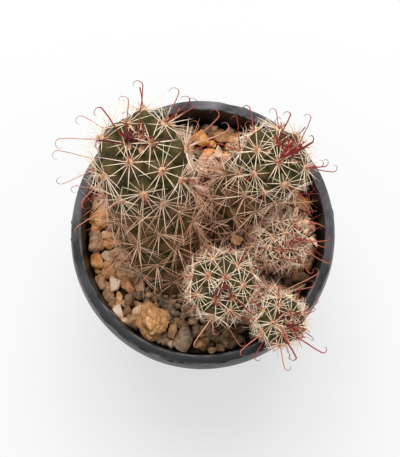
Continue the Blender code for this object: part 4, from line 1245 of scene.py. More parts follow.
def spine_fans(stem, per_areole, salt, rise, reach, looseness, middle=0.0, spread=2 * math.pi):
    """Spines that fan out from every areole: way = cos(rise) fan + sin(rise) n, where the fan's turns are
    spread evenly about a middle one, 0 being round the stem and a quarter turn up it. Rise in degrees and
    reach in areole spacings are drawn between two values. Spines on the crown are short, most of all those
    that point up. Returns roots, ways, normals, lengths and ages, a row for each spine."""
    tips, normals, around, up = stem.areole_frames()
    draw = np.random.default_rng([stem.seed, salt])
    shape = (len(tips), per_areole)
    usual = stem.age_at(stem.downs)[:, None]
    ages = np.clip(usual + (0.10 + 0.20 * usual) * draw.normal(size=shape), 0, 1)
    even = (np.arange(per_areole) + draw.uniform(0, 1, size=(shape[0], 1))) / per_areole - 0.5
    turn = middle + spread * even + looseness * (1 + 1.9 * ages) * draw.normal(size=shape)
    lift = np.radians(draw.uniform(*rise, size=shape)) * (1 + 0.5 * ages * draw.normal(size=shape))
    size = 0.12 + 0.88 * smooth(stem.downs / (0.45 * stem.bulk))[:, None]
    crown = 1 - 0.50 * np.clip(np.sin(turn), 0, 1) * (1 - smooth(stem.downs / (1.1 * stem.bulk)))[:, None]
    length = stem.spacing * size * crown * draw.uniform(*reach, size=shape)
    fan = towards(turn, around[:, None], up[:, None])
    way = towards(lift, fan, normals[:, None])
    root = tips[:, None] - STRAIGHT_SUNK * normals[:, None] + fan * (0.0004 * size)[..., None]
    across = np.repeat(normals, per_areole, axis=0)
    return root.reshape(-1, 3), way.reshape(-1, 3), across, length.ravel(), ages.ravel()


def bowed(root, way, normal, length, bow):
    """Paths root + way L t + normal 4 L b (t - t^2), which bend by the share b of their length."""
    t = np.linspace(0, 1, len(STRAIGHT_TAPER))[None, :, None]
    length = length[:, None, None]
    bulge = normal[:, None] * length * bow[:, None, None] * 4 * (t - t * t)
    return root[:, None] + way[:, None] * length * t + bulge


def straight_spines(stem, name, fans, radius, bow, seed, sides=3, older_than=-1.0):
    """A piece of the fans' spines that are older than a given age. Each is tapered, old ones are thinner, and
    some of the old ones are lost."""
    root, way, normal, length, ages = fans
    draw = np.random.default_rng([stem.seed, seed])
    paths = bowed(root, way, normal, length, draw.normal(scale=bow, size=len(length)))
    own = radius * draw.uniform(0.8, 1.15, size=(len(length), 1))
    radii = own * STRAIGHT_TAPER * (1 - THINNED_BY_AGE * ages[:, None])
    kept = (ages > older_than) & (draw.uniform(size=len(ages)) > LOST_BY_AGE * ages)
    spine_piece(name, paths[kept], radii[kept], normal[kept], sides, ages[kept], pale_material, "pale_spine")


# %% Pale spine finish
pale_material, tree, shader = new_material("pale_spine", 0.5, 0.25)
along, age = stored(tree, "along"), stored(tree, "age")
cream = blend(tree, span(tree, along, 0.0, 0.20), (0.85, 0.50, 0.27), (0.92, 0.765, 0.575))
cream = blend(tree, span(tree, along, 0.82, 1.0), cream, (0.80, 0.52, 0.38))
tan = blend(tree, span(tree, along, 0.35, 1.0), (0.90, 0.51, 0.32), (0.74, 0.35, 0.22))
colour = blend(tree, span(tree, age, 0.0, 0.9), cream, tan)
streaks = mottled(tree, 260.0, 0.45, 0.75)
feed(tree, shader.inputs["Base Color"], laid(tree, colour, streaks, 0.25, (0.56, 0.30, 0.21)))
glowing(shader, 0.15, 0.0006, 0.0004, 0.0002)

for name, stem in stems.items():
    carried = CARRIED[name]
    radius = carried["radius"]
    looseness = 0.09 + 0.3 * stem.weathered
    radials = spine_fans(stem, carried["radials"], 4, (6, 20), carried["reach"], looseness)
    straight_spines(stem, name + "_radials", radials, radius, 0.02, 5, sides=4)
    tangle = spine_fans(stem, carried["tangle"], 7, (10, 50), (0.60, 1.30), 0.5)
    straight_spines(stem, name + "_tangle", tangle, 0.72 * radius, 0.05, 8, older_than=0.15)
    drift = spine_fans(stem, 3, 11, (8, 40), (1.20, 1.90), 0.6)
    straight_spines(stem, name + "_drift", drift, 0.80 * radius, 0.07, 12, older_than=0.22)
    stout = spine_fans(stem, 1, 9, (12, 34), (1.00, 1.40), 0.25, middle=-math.pi / 2, spread=0.0)
    straight_spines(stem, name + "_stout", stout, 1.25 * radius, 0.04, 10, sides=4, older_than=0.12)

# %% Stout spines seen
# Old centrals that the photograph shows plainly: the areole's number and the spine's end in millimetres.
STOUT_SEEN = {
    "stem_tall": ((7, (-10.2, 8.8, 129.2)), (9, (-28.4, 2.2, 135.9)), (12, (-21.9, -4.2, 115.3)),
                  (15, (-0.8, 6.4, 109.8)), (17, (-34.3, 0.3, 112.0)), (20, (-13.6, -4.2, 112.3)),
                  (22, (-39.4, 5.8, 104.8)), (23, (3.4, 12.0, 101.5)), (25, (-25.8, -7.6, 107.4)),
                  (33, (-16.5, -12.7, 101.1)), (36, (1.8, -3.6, 90.2)), (36, (3.0, -1.0, 90.2)),
                  (38, (-27.9, -16.4, 90.1)), (41, (-5.8, -18.7, 87.1)), (44, (2.5, -3.6, 79.9)),
                  (44, (3.4, 3.7, 81.8)), (46, (-18.5, -25.4, 80.4)), (49, (-2.6, -12.9, 82.5))),
    "stem_back": ((17, (20.5, 4.1, 101.5)), (20, (5.7, 13.6, 100.8)), (22, (27.7, 3.2, 93.3)),
                  (25, (0.6, 9.2, 100.3)), (25, (11.6, 5.1, 99.5)), (30, (19.0, -1.9, 91.1)),
                  (30, (20.7, -1.7, 91.1)), (38, (17.2, -1.1, 93.2)), (41, (10.4, 6.5, 98.8)),
                  (43, (18.6, -1.8, 82.5)), (46, (10.2, 0.5, 92.8)), (48, (-7.4, 9.0, 71.7)),
                  (49, (8.3, -5.9, 75.5))),
    "stem_front": ((14, (-4.4, -31.2, 107.9)),),
    "stem_small": ((19, (28.9, -18.3, 91.3)), (51, (18.4, -8.4, 84.6))),
}
for name, seen in STOUT_SEEN.items():
    tips, normals, _, _ = stems[name].areole_frames()
    areoles = np.array([n for n, _ in seen])
    runs = np.array([end for _, end in seen]) / 1000 - tips[areoles]
    lengths = np.linalg.norm(runs, axis=1)
    fans = (tips[areoles], unit(runs), normals[areoles], lengths, np.full(len(seen), 0.28))
    radius = 1.35 * CARRIED[name]["radius"]
    straight_spines(stems[name], name + "_stout_seen", fans, radius, 0.03, 14, sides=5)

# %% [markdown]
# ## Hooked central spines
#
# One long spine stands out of each young areole and ends in a fish-hook. It is a little bowed for most of
# its length and then turns by more than half a circle. An arc joined to a straight line would look bent by a
# machine, so the path adds up short steps along a heading that turns more and more. Young hooks are dark
# red, older ones fade to pink and tan. Those that the photograph shows plainly are listed, the others follow
# the solids' rule.

# %% Hooks seen
# The areole's number from the crown down, the point in millimetres where the straight part ends, the way in
# which the hook turns in degrees from +X towards +Y, how faded the spine is and how thick.
HOOKS_SEEN = {"stem_tall": (
    (0, (-20.9, 41.3, 144.4), 180, 0.45, 0.95), (1, (-36.3, 20.7, 147.0), 270, 0.05, 1.25),
    (1, (-35.1, 32.3, 147.2), 225, 0.25, 1.10), (2, (-12.7, 22.3, 144.0), 120, 0.00, 1.10),
    (3, (-26.1, 37.3, 139.3), 180, 0.65, 0.75), (5, (-8.3, 39.6, 140.2), 180, 0.55, 0.85),
    (5, (-4.6, 36.6, 139.6), 180, 0.40, 1.00), (5, (-2.0, 34.8, 141.1), 160, 0.45, 0.90),
    (6, (-50.8, 23.9, 135.9), 260, 0.70, 0.75), (9, (-42.4, 2.2, 132.3), 270, 0.60, 0.75),
    (10, (-1.5, 29.7, 129.0), 150, 0.55, 0.80), (10, (5.6, 32.9, 130.8), 150, 0.55, 0.95),
    (10, (8.6, 28.2, 129.2), 115, 0.70, 1.10), (11, (-44.3, 38.0, 112.8), 240, 0.70, 0.75),
    (14, (-51.0, 11.7, 116.1), 200, 0.65, 0.75), (17, (-44.7, -6.3, 128.0), 250, 0.62, 0.70),
    (19, (-54.3, 27.5, 101.8), 265, 0.65, 0.70), (27, (-47.2, 14.5, 99.8), 180, 0.60, 0.80),
    (27, (-44.6, 6.4, 106.0), 240, 0.32, 1.10),
), "stem_back": (
    (1, (39.4, 25.2, 125.1), 100, 0.15, 1.45), (2, (31.6, 35.4, 125.4), 180, 0.30, 1.10),
    (3, (39.2, 35.3, 121.4), 170, 0.55, 0.80), (4, (33.1, 21.7, 129.1), 100, 0.15, 1.35),
    (5, (26.8, 39.6, 114.7), 180, 0.60, 0.75), (6, (44.9, 18.7, 114.0), 90, 0.35, 0.90),
    (6, (47.8, 16.5, 114.4), 90, 0.45, 0.85), (7, (13.7, 27.6, 129.0), 200, 0.75, 1.00),
    (10, (17.3, 41.8, 110.8), 180, 0.45, 0.95), (15, (12.3, 36.1, 119.1), 220, 0.35, 0.90),
    (15, (4.9, 28.1, 111.4), 200, 0.35, 0.90),
), "stem_front": (
    (2, (17.8, -35.2, 110.8), 30, 0.15, 1.10), (5, (19.9, -25.7, 112.8), 60, 0.50, 0.80),
    (8, (16.0, -11.8, 111.8), 160, 0.25, 0.90), (12, (-3.4, -44.7, 99.2), 0, 0.70, 0.90),
    (12, (3.8, -40.5, 98.2), 0, 0.65, 0.80), (20, (14.1, -44.3, 88.1), 20, 0.55, 0.80),
), "stem_corner": (
    (0, (35.3, -38.5, 115.0), 120, 0.05, 1.20), (3, (33.4, -51.2, 114.0), 180, 0.15, 1.25),
    (5, (43.3, -48.9, 108.5), 60, 0.25, 1.00), (7, (41.9, -30.2, 107.0), 90, 0.55, 0.75),
    (8, (29.7, -54.2, 103.8), 0, 0.60, 0.85), (11, (13.5, -48.0, 106.7), 290, 0.55, 0.85),
    (16, (19.0, -49.1, 95.4), 350, 0.40, 0.85), (33, (43.2, -17.4, 91.3), 100, 0.60, 0.80),
    (33, (41.3, -22.2, 90.5), 90, 0.50, 0.85),
), "stem_small": (
    (5, (46.3, -6.6, 101.7), 90, 0.50, 0.90), (8, (39.5, -18.4, 97.9), 60, 0.45, 0.90),
    (9, (30.0, -10.2, 100.0), 20, 0.30, 1.00), (13, (47.2, -13.2, 89.0), 30, 0.55, 0.80),
    (18, (45.9, -6.9, 87.5), 40, 0.50, 0.80),
)}

# %% Hook paths
HOOK_TURN = math.radians(215)
HOOK_RINGS = 15
SHAFT_RINGS = 5
HOOK_STEPS = 80
HOOK_RADIUS = 0.00027
HOOK_SIDES = 4
# How wide hooks and tufts curl, as a share of the solids' hooks, and how far a hook reaches past its
# straight part in bend radii.
CURL = 1.38
TUFT_CURL = 0.34
HOOK_REACH = 2.6
HOOK_SUNK = 0.0006
HOOK_TAPER = np.linspace(1.0, 0.0, HOOK_RINGS) ** 0.7 * 0.85 + 0.15


def hooked_paths(tips, ways, bends, lengths, bend_radius, bow=0.16):
    """Paths that start at the tips along the ways and curl towards the bends. On the shaft the heading swings
    by b (m - sin(pi t^1.3)), with m the mean of the sine, so that the shaft still ends on its way. Over the
    last stretch, of length HOOK_TURN times the bend radius, the heading turns by HOOK_TURN."""
    curl = HOOK_TURN * bend_radius
    shaft = np.maximum(lengths - HOOK_REACH * bend_radius, 0.25 * lengths)
    on_shaft = np.linspace(0, 1, SHAFT_RINGS)[None] * shaft[:, None]
    on_curl = shaft[:, None] + np.linspace(0, 1, HOOK_RINGS - SHAFT_RINGS + 1)[None, 1:] * curl[:, None]
    s = np.concatenate([on_shaft, on_curl], axis=1)
    fine = np.linspace(0, 1, HOOK_STEPS + 1)[None] * s[:, -1:]
    turned = HOOK_TURN * np.clip((fine - shaft[:, None]) / curl[:, None], 0, 1) ** 1.15
    on = fine < shaft[:, None]
    swing = np.sin(math.pi * np.clip(fine / shaft[:, None], 0, 1) ** 1.3)
    mean = (swing * on).sum(axis=1, keepdims=True) / on.sum(axis=1, keepdims=True)
    heading = turned + bow * np.where(on, mean - swing, 0.0)
    step = np.diff(fine, axis=1)
    rows = s / s[:, -1:] * HOOK_STEPS
    low = np.clip(np.floor(rows).astype(int), 0, HOOK_STEPS - 1)
    part = rows - low
    pick = np.arange(len(tips))[:, None]
    paths = tips[:, None]
    for along, wave in ((ways, np.cos), (bends, np.sin)):
        walked = np.pad(np.cumsum(wave(heading[:, 1:]) * step, axis=1), ((0, 0), (1, 0)))
        walked = walked[pick, low] * (1 - part) + walked[pick, low + 1] * part
        paths = paths + walked[..., None] * along[:, None]
    return paths


def central_spines(stem, seen):
    """Roots, ways, bends, lengths, fades and thicknesses of the hooked centrals: those seen, and one for each
    other young areole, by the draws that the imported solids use."""
    tips, normals, around, up = stem.areole_frames()
    bend_radius = CURL * HOOK_BEND * stem.hook
    found = []
    for n, end, curl, fade, thickness in seen:
        run = np.array(end) / 1000 - tips[n]
        way = unit(run)
        bend = np.array([math.cos(math.radians(curl)), math.sin(math.radians(curl)), 0.0])
        bend = unit(bend - way * (bend @ way))
        found.append((tips[n], way, bend, np.linalg.norm(run) + HOOK_REACH * bend_radius, fade, thickness))
    listed = {row[0] for row in seen}
    for n, down in enumerate(stem.downs):
        if n in listed or not 0.10 * stem.bulk < down < stem.hook_depth * stem.down[-1]:
            continue
        draw = np.random.default_rng([stem.seed, n, 2])
        sway, climb, roll, size = draw.uniform((-0.28, 0.0, -1.2, 0.85), (0.28, 0.45, 1.2, 1.1))
        length = 0.62 * stem.hook * size * min(1.0, 0.45 + 0.55 * down / (0.7 * stem.bulk))
        way = unit(normals[n] + sway * around[n] + climb * up[n])
        bend = unit(np.cross(np.cross(way, math.cos(roll) * up[n] + math.sin(roll) * around[n]), way))
        found.append((tips[n], way, bend, length, 0.35 + 0.3 * float(stem.age_at(down)), 0.85))
    return [np.array(column) for column in zip(*found)]


# %% Low red spines seen
# Red spines that cross below the back stem and beside the small one: both ends in millimetres, fade,
# thickness.
LOW_REDS = (
    ((38.2, 11.4, 86.0), (43.6, 17.0, 85.4), 0.20, 0.95),
    ((36.3, 13.8, 87.0), (46.4, 14.1, 85.4), 0.30, 0.85),
    ((40.0, 19.2, 85.4), (45.5, 11.9, 85.4), 0.10, 0.90),
    ((37.6, 12.6, 86.5), (44.6, 8.6, 83.5), 0.35, 0.75),
    ((38.6, -6.8, 92.0), (47.6, -12.4, 90.0), 0.30, 0.80),
    ((37.0, 1.6, 88.0), (45.8, 6.6, 86.0), 0.25, 0.80),
    ((36.8, 4.2, 88.0), (41.6, 11.2, 86.0), 0.15, 0.90),
    ((39.0, -1.8, 90.0), (46.4, 1.8, 87.0), 0.40, 0.75),
)

# %% Short red spines seen
# Short red spines in the crowns and beside the small stem: the three points in millimetres that each runs
# through, how faded it is and how thick.
TRACED_REDS = {"stem_tall": (
    ((-28.0, 26.7, 131.4), (-25.6, 24.8, 132.3), (-23.3, 23.9, 132.6), 0.04, 2.9),
    ((-27.6, 25.7, 131.7), (-25.7, 24.7, 133.6), (-24.1, 25.6, 133.6), 0.03, 2.6),
    ((-27.0, 30.3, 130.2), (-27.0, 28.2, 131.1), (-26.7, 25.9, 131.8), 0.10, 1.1),
    ((-26.5, 27.4, 131.4), (-25.9, 25.2, 133.3), (-24.0, 23.7, 132.6), 0.05, 1.7),
    ((-25.3, 27.0, 131.6), (-24.7, 25.1, 132.5), (-23.3, 24.1, 132.5), 0.07, 1.2),
    ((-23.3, 24.1, 132.5), (-21.6, 24.9, 133.4), (-20.9, 26.1, 134.4), 0.14, 1.2),
    ((-20.9, 26.0, 134.4), (-21.0, 27.8, 135.9), (-21.5, 30.4, 137.3), 0.20, 1.3),
    ((-25.4, 23.9, 132.4), (-25.1, 22.7, 132.8), (-25.3, 21.2, 133.1), 0.10, 1.0),
    ((-23.3, 23.1, 132.8), (-21.8, 22.2, 133.7), (-20.4, 21.5, 133.5), 0.00, 1.1),
    ((-20.1, 25.1, 131.3), (-20.5, 23.1, 132.2), (-20.4, 20.9, 132.4), 0.02, 0.9),
    ((-20.4, 20.9, 132.4), (-20.9, 19.4, 132.6), (-21.8, 18.5, 132.7), 0.02, 0.8),
    ((-23.1, 23.3, 131.5), (-22.8, 20.9, 132.2), (-22.5, 18.7, 132.6), 0.02, 1.2),
    ((-19.5, 24.5, 131.5), (-18.3, 25.3, 132.9), (-16.9, 24.9, 131.4), 0.05, 0.9),
    ((-18.1, 21.1, 132.4), (-16.8, 21.7, 134.3), (-15.0, 23.0, 135.8), 0.02, 1.1),
    ((-30.9, 29.6, 128.0), (-30.1, 27.8, 129.4), (-28.7, 26.5, 130.1), 0.12, 0.8),
), "stem_back": (
    ((30.8, 22.5, 112.6), (34.6, 24.0, 116.5), (39.8, 26.4, 120.5), 0.14, 2.3),
    ((31.6, 23.8, 111.9), (34.7, 24.7, 115.3), (37.5, 25.5, 117.3), 0.24, 1.6),
    ((27.2, 29.3, 112.2), (27.7, 26.3, 114.1), (28.6, 23.4, 113.4), 0.22, 1.2),
    ((26.3, 30.5, 111.9), (27.5, 27.4, 113.8), (28.2, 24.5, 113.8), 0.36, 0.9),
    ((28.2, 21.4, 114.0), (29.5, 23.9, 116.9), (31.4, 26.7, 116.9), 0.20, 1.2),
    ((28.7, 20.3, 114.0), (29.9, 22.8, 116.4), (31.5, 25.3, 117.4), 0.24, 1.3),
    ((28.3, 25.0, 113.2), (30.4, 24.9, 114.6), (32.9, 25.8, 114.6), 0.22, 1.2),
    ((29.4, 24.3, 112.8), (31.3, 26.5, 114.7), (34.4, 28.3, 114.2), 0.32, 0.9),
    ((27.9, 27.6, 112.6), (30.1, 26.5, 114.0), (33.0, 27.9, 113.5), 0.10, 0.9),
    ((29.1, 27.1, 112.2), (30.0, 29.4, 115.1), (30.3, 31.2, 117.1), 0.20, 0.8),
    ((30.9, 24.1, 112.1), (31.3, 27.3, 114.5), (30.5, 30.3, 116.0), 0.30, 0.8),
    ((30.1, 22.4, 113.0), (32.3, 24.7, 115.4), (35.4, 26.2, 115.4), 0.42, 1.1),
    ((29.7, 24.0, 112.7), (32.2, 26.5, 114.6), (35.5, 28.1, 114.1), 0.30, 0.9),
    ((28.6, 25.0, 112.9), (29.5, 23.9, 113.8), (29.7, 22.0, 113.3), 0.18, 1.5),
    ((27.2, 26.5, 113.2), (28.7, 25.8, 114.6), (30.4, 24.1, 114.6), 0.16, 1.4),
    ((32.1, 26.6, 110.9), (33.5, 27.8, 111.8), (35.4, 27.0, 110.3), 0.45, 0.8),
), "stem_front": (
    ((3.6, -27.4, 104.3), (5.4, -26.0, 105.7), (7.2, -24.1, 105.3), 0.06, 2.2),
    ((6.3, -24.1, 105.4), (8.1, -23.7, 106.3), (10.1, -25.0, 105.3), 0.06, 1.9),
    ((6.9, -22.3, 105.8), (7.4, -23.7, 106.7), (6.8, -25.3, 106.2), 0.10, 1.4),
    ((7.8, -24.8, 105.0), (9.4, -24.9, 105.9), (10.5, -26.7, 105.4), 0.06, 1.7),
    ((4.5, -28.7, 103.8), (5.8, -27.2, 105.2), (6.3, -25.3, 105.0), 0.12, 1.5),
    ((5.6, -31.1, 102.4), (6.1, -29.4, 103.8), (5.8, -27.6, 104.2), 0.12, 1.1),
    ((3.8, -30.7, 102.4), (4.5, -29.4, 103.8), (5.2, -28.0, 104.1), 0.12, 1.0),
    ((9.3, -29.0, 103.4), (10.1, -27.3, 104.8), (9.6, -25.1, 104.7), 0.12, 1.5),
    ((7.8, -28.6, 103.7), (8.7, -27.7, 104.6), (10.0, -27.7, 105.1), 0.05, 1.3),
    ((7.1, -29.7, 103.2), (6.9, -30.8, 103.6), (7.8, -32.2, 102.6), 0.12, 0.9),
), "stem_corner": (
    ((29.1, -37.9, 107.2), (32.2, -39.1, 110.1), (35.2, -38.2, 111.6), 0.02, 1.35),
    ((35.2, -38.2, 111.6), (36.5, -36.7, 112.0), (35.0, -35.1, 111.0), 0.06, 1.2),
    ((35.1, -35.2, 111.0), (33.4, -34.1, 109.6), (31.3, -33.4, 108.0), 0.08, 1.0),
    ((28.4, -39.0, 107.1), (29.5, -40.6, 108.5), (30.8, -43.8, 108.5), 0.62, 1.5),
    ((31.7, -39.1, 105.4), (33.6, -39.7, 107.3), (36.3, -39.5, 108.3), 0.50, 1.1),
    ((31.7, -40.2, 105.1), (34.1, -39.9, 107.5), (37.1, -40.8, 108.5), 0.56, 1.0),
    ((36.7, -39.3, 100.6), (38.0, -39.6, 101.3), (39.2, -40.7, 101.5), 0.22, 0.8),
    ((31.0, -39.0, 105.9), (32.5, -40.4, 107.3), (33.8, -41.9, 107.3), 0.66, 1.2),
    ((32.1, -40.9, 104.6), (34.2, -40.7, 106.0), (36.4, -41.7, 106.0), 0.42, 0.9),
    ((33.2, -40.4, 104.1), (34.4, -43.1, 105.5), (35.8, -46.5, 106.0), 0.20, 0.7),
    ((29.9, -42.0, 105.1), (30.5, -44.0, 106.5), (31.6, -45.4, 106.0), 0.58, 1.1),
    ((31.7, -38.1, 105.9), (34.2, -37.3, 107.3), (36.3, -38.5, 107.8), 0.60, 0.7),
    ((26.5, -34.9, 108.1), (28.6, -35.8, 109.5), (30.6, -32.9, 110.0), 0.08, 0.8),
    ((27.8, -37.1, 107.9), (29.2, -35.2, 109.3), (29.9, -32.9, 109.3), 0.16, 0.8),
    ((26.7, -37.2, 107.9), (27.9, -35.8, 109.3), (29.6, -34.1, 109.3), 0.24, 0.8),
    ((30.2, -35.7, 107.4), (28.7, -34.2, 108.3), (26.9, -33.6, 108.0), 0.28, 0.7),
    ((30.9, -36.4, 106.9), (31.8, -34.7, 108.3), (30.9, -33.0, 107.8), 0.20, 0.7),
    ((29.2, -44.0, 103.4), (30.3, -46.3, 104.3), (30.8, -48.4, 103.8), 0.75, 0.6),
    ((26.6, -43.1, 104.8), (26.9, -46.4, 105.2), (27.1, -50.0, 104.7), 0.85, 0.6),
    ((34.0, -41.4, 102.9), (35.7, -42.3, 104.3), (38.6, -42.7, 104.8), 0.60, 0.6),
), "stem_small": (
    ((30.2, -8.0, 97.8), (31.3, -6.9, 99.2), (32.8, -7.4, 98.7), 0.50, 1.1),
    ((31.3, -8.7, 97.1), (32.2, -7.6, 98.5), (31.7, -6.0, 98.0), 0.44, 1.0),
    ((32.9, -7.8, 96.6), (33.9, -6.2, 98.0), (35.4, -7.2, 97.5), 0.42, 1.0),
    ((34.8, -8.4, 95.4), (36.0, -7.1, 96.8), (35.1, -5.7, 96.3), 0.50, 0.9),
    ((32.5, -9.7, 96.3), (34.1, -8.6, 97.7), (35.8, -9.3, 96.7), 0.58, 0.9),
    ((33.3, -6.0, 96.8), (35.0, -5.2, 98.2), (37.7, -5.6, 96.7), 0.38, 1.0),
    ((36.3, -5.5, 95.0), (38.9, -5.4, 95.9), (42.0, -7.2, 93.9), 0.20, 0.9),
    ((37.7, -8.5, 91.4), (40.6, -10.3, 92.3), (44.4, -12.3, 90.5), 0.48, 1.3),
    ((31.4, -12.1, 95.2), (33.2, -13.3, 96.6), (35.5, -13.8, 95.1), 0.44, 1.6),
    ((32.3, -13.2, 92.5), (33.7, -12.1, 93.9), (35.6, -12.3, 92.9), 0.52, 1.2),
    ((26.5, -9.1, 97.6), (29.2, -11.8, 99.0), (32.2, -14.1, 97.0), 0.54, 1.2),
    ((37.2, -3.6, 94.1), (38.8, -2.9, 95.5), (40.5, -3.8, 94.0), 0.42, 1.0),
    ((40.0, 0.9, 92.3), (42.5, 1.3, 93.3), (46.0, 0.1, 91.5), 0.52, 1.3),
    ((38.8, 2.4, 92.5), (41.0, 1.4, 93.5), (42.6, -0.5, 91.6), 0.38, 0.9),
    ((34.0, 1.3, 94.5), (35.8, 2.8, 95.4), (38.2, 5.7, 94.4), 0.38, 1.2),
    ((34.1, -0.1, 95.9), (35.6, -1.1, 96.3), (37.3, -1.5, 95.3), 0.32, 1.3),
    ((37.7, 5.4, 92.9), (39.6, 7.7, 93.9), (41.6, 10.8, 92.6), 0.34, 1.0),
    ((38.5, 4.3, 92.8), (40.3, 5.6, 93.8), (43.0, 6.3, 92.2), 0.24, 1.0),
    ((40.3, -3.5, 91.6), (41.7, -5.4, 92.6), (43.5, -7.8, 90.8), 0.36, 0.9),
)}
# Red spines are amber at the root and brown further out. A traced one shows the colours of this stretch of
# them, from 0 at the root to 1 at the tip.
USUAL_STRETCH = (0.10, 0.55)
STRETCHES = {"stem_front": (0.50, 0.72), "stem_small": (0.10, 0.62)}


def through(start, middle, end, rings):
    """Paths through three points: a (1 - t)(1 - 2t) + b 4t(1 - t) + c t(2t - 1)."""
    start, middle, end = start[:, None], middle[:, None], end[:, None]
    t = np.linspace(0, 1, rings)[None, :, None]
    return start * (1 - t) * (1 - 2 * t) + middle * 4 * t * (1 - t) + end * t * (2 * t - 1)


def swung(start, end, swing, rings):
    """Paths between two points that swing out half way: a (1 - t) + b t + 4t(1 - t) s."""
    t = np.linspace(0, 1, rings)[None, :, None]
    return start[:, None] * (1 - t) + end[:, None] * t + 4 * t * (1 - t) * swing


# %% Crown tufts
# New centrals crowd on each crown before they have grown out: how many each areole has, how long they are as
# a share of a full one, how many areoles have them, how faded they are and how thick. The second, denser row
# is for the very middle.
TUFTS = {
    "stem_tall": ((2, (0.12, 0.34), 4, (0.0, 0.15), 1.00), (4, (0.16, 0.34), 2, (0.0, 0.10), 1.20)),
    "stem_back": ((2, (0.18, 0.45), 6, (0.20, 0.45), 0.80), (5, (0.24, 0.50), 4, (0.15, 0.45), 0.85)),
    "stem_front": ((1, (0.15, 0.38), 5, (0.30, 0.60), 0.75), (2, (0.20, 0.40), 3, (0.0, 0.12), 0.95)),
    "stem_corner": ((1, (0.15, 0.40), 6, (0.35, 0.60), 0.70), (2, (0.24, 0.55), 3, (0.30, 0.55), 0.75)),
    "stem_small": ((2, (0.15, 0.45), 8, (0.30, 0.65), 0.75), (4, (0.20, 0.45), 3, (0.25, 0.55), 0.80)),
}


def tuft(stem, per_areole, share, areoles, fade, thickness):
    """The six columns that central_spines gives, for a crown's new spines, which lean up towards it."""
    frames = (np.repeat(rows[:areoles], per_areole, axis=0) for rows in stem.areole_frames())
    tips, normals, around, up = frames
    draw = np.random.default_rng([stem.seed, 12, per_areole])
    count = len(tips)
    apart = 0.08 * stem.spacing * draw.normal(size=(count, 2))
    tips = tips + apart[:, :1] * around + apart[:, 1:] * up
    sway = draw.normal(scale=0.45, size=(count, 2))
    ways = unit(normals + sway[:, :1] * around + (0.25 + sway[:, 1:]) * up)
    roll = draw.uniform(0, 2 * math.pi, size=(count, 1))
    bends = np.cos(roll) * around + np.sin(roll) * up
    bends = unit(bends - ways * (bends * ways).sum(axis=1, keepdims=True))
    lengths = stem.hook * draw.uniform(*share, size=count)
    return tips, ways, bends, lengths, draw.uniform(*fade, size=count), np.full(count, thickness)


# %% Red spine finish
red_material, tree, shader = new_material("red_spine", 0.42, 0.20)
along, age = stored(tree, "along"), stored(tree, "age")
colour = blend(tree, span(tree, age, 0.0, 0.30), (0.070, 0.005, 0.008), (0.31, 0.020, 0.018))
colour = laid(tree, colour, span(tree, along, 0.12, 0.0), span(tree, age, 0.5, 0.1), (0.66, 0.22, 0.055))
colour = blend(tree, span(tree, age, 0.30, 0.65), colour, (0.44, 0.135, 0.092))
colour = blend(tree, span(tree, age, 0.60, 1.0), colour, (0.72, 0.46, 0.34))
colour = laid(tree, colour, span(tree, along, 0.45, 0.0), span(tree, age, 0.4, 0.8), (0.72, 0.42, 0.26))
colour = laid(tree, colour, span(tree, along, 0.42, 0.85), 0.85, (0.090, 0.052, 0.050))
streaks = mottled(tree, 700.0, 0.35, 0.7)
feed(tree, shader.inputs["Base Color"], laid(tree, colour, streaks, 0.25, (0.28, 0.060, 0.045)))


def columns_of(rows, count):
    """The first few columns of a list's rows, which are points, in metres."""
    return (np.array([row[i] for row in rows]) / 1000 for i in range(count))


def seen_reds(name, paths, rows, radius, thin, ends=(0.0, 1.0)):
    """Red spines whose rows end with how faded and how thick each is. The radius falls to the share thin."""
    fades, thickness = (np.array([row[i] for row in rows]) for i in (-2, -1))
    radii = radius * thickness[:, None] * np.linspace(1.0, thin, paths.shape[1])
    across = np.tile([0.0, 0.0, 1.0], (len(rows), 1))
    spine_piece(name, paths, radii, across, 5, fades, red_material, "red_spine", ends)


# %% Red spines
paths = swung(*columns_of(LOW_REDS, 2), (0.0, 0.0, 0.0007), 7)
seen_reds("low_red_spines", paths, LOW_REDS, HOOK_RADIUS, 0.2)
for name, rows in TRACED_REDS.items():
    paths = through(*columns_of(rows, 3), 8)
    seen_reds(name + "_traced", paths, rows, 1.15 * HOOK_RADIUS, 0.40, STRETCHES.get(name, USUAL_STRETCH))

for name, stem in stems.items():
    grown = central_spines(stem, HOOKS_SEEN[name])
    new = [np.concatenate(columns) for columns in zip(*(tuft(stem, *row) for row in TUFTS[name]))]
    for label, kind, curl in (("_hooks", grown, CURL), ("_tuft", new, TUFT_CURL)):
        tips, ways, bends, lengths, fades, thickness = kind
        bend_radii = np.full(len(tips), curl * HOOK_BEND * stem.hook)
        paths = hooked_paths(tips - HOOK_SUNK * ways, ways, bends, lengths, bend_radii)
        radii = HOOK_RADIUS * thickness[:, None] * HOOK_TAPER[None]
        across = np.cross(ways, bends)
        spine_piece(name + label, paths, radii, across, HOOK_SIDES, fades, red_material, "red_spine")

# %% [markdown]
# ## Felt
#
# The felt of an areole is a low cushion of wool. A bump alone would leave its outline smooth. So one low
# dome is copied to every areole, and short hairs, which are the thinnest swept spines, break up its edge.

# %% Felt
FELT_ROWS = 4
FELT_COLUMNS = 8
HAIRS = 46
HAIR_RADII = (0.00011, 0.00003)
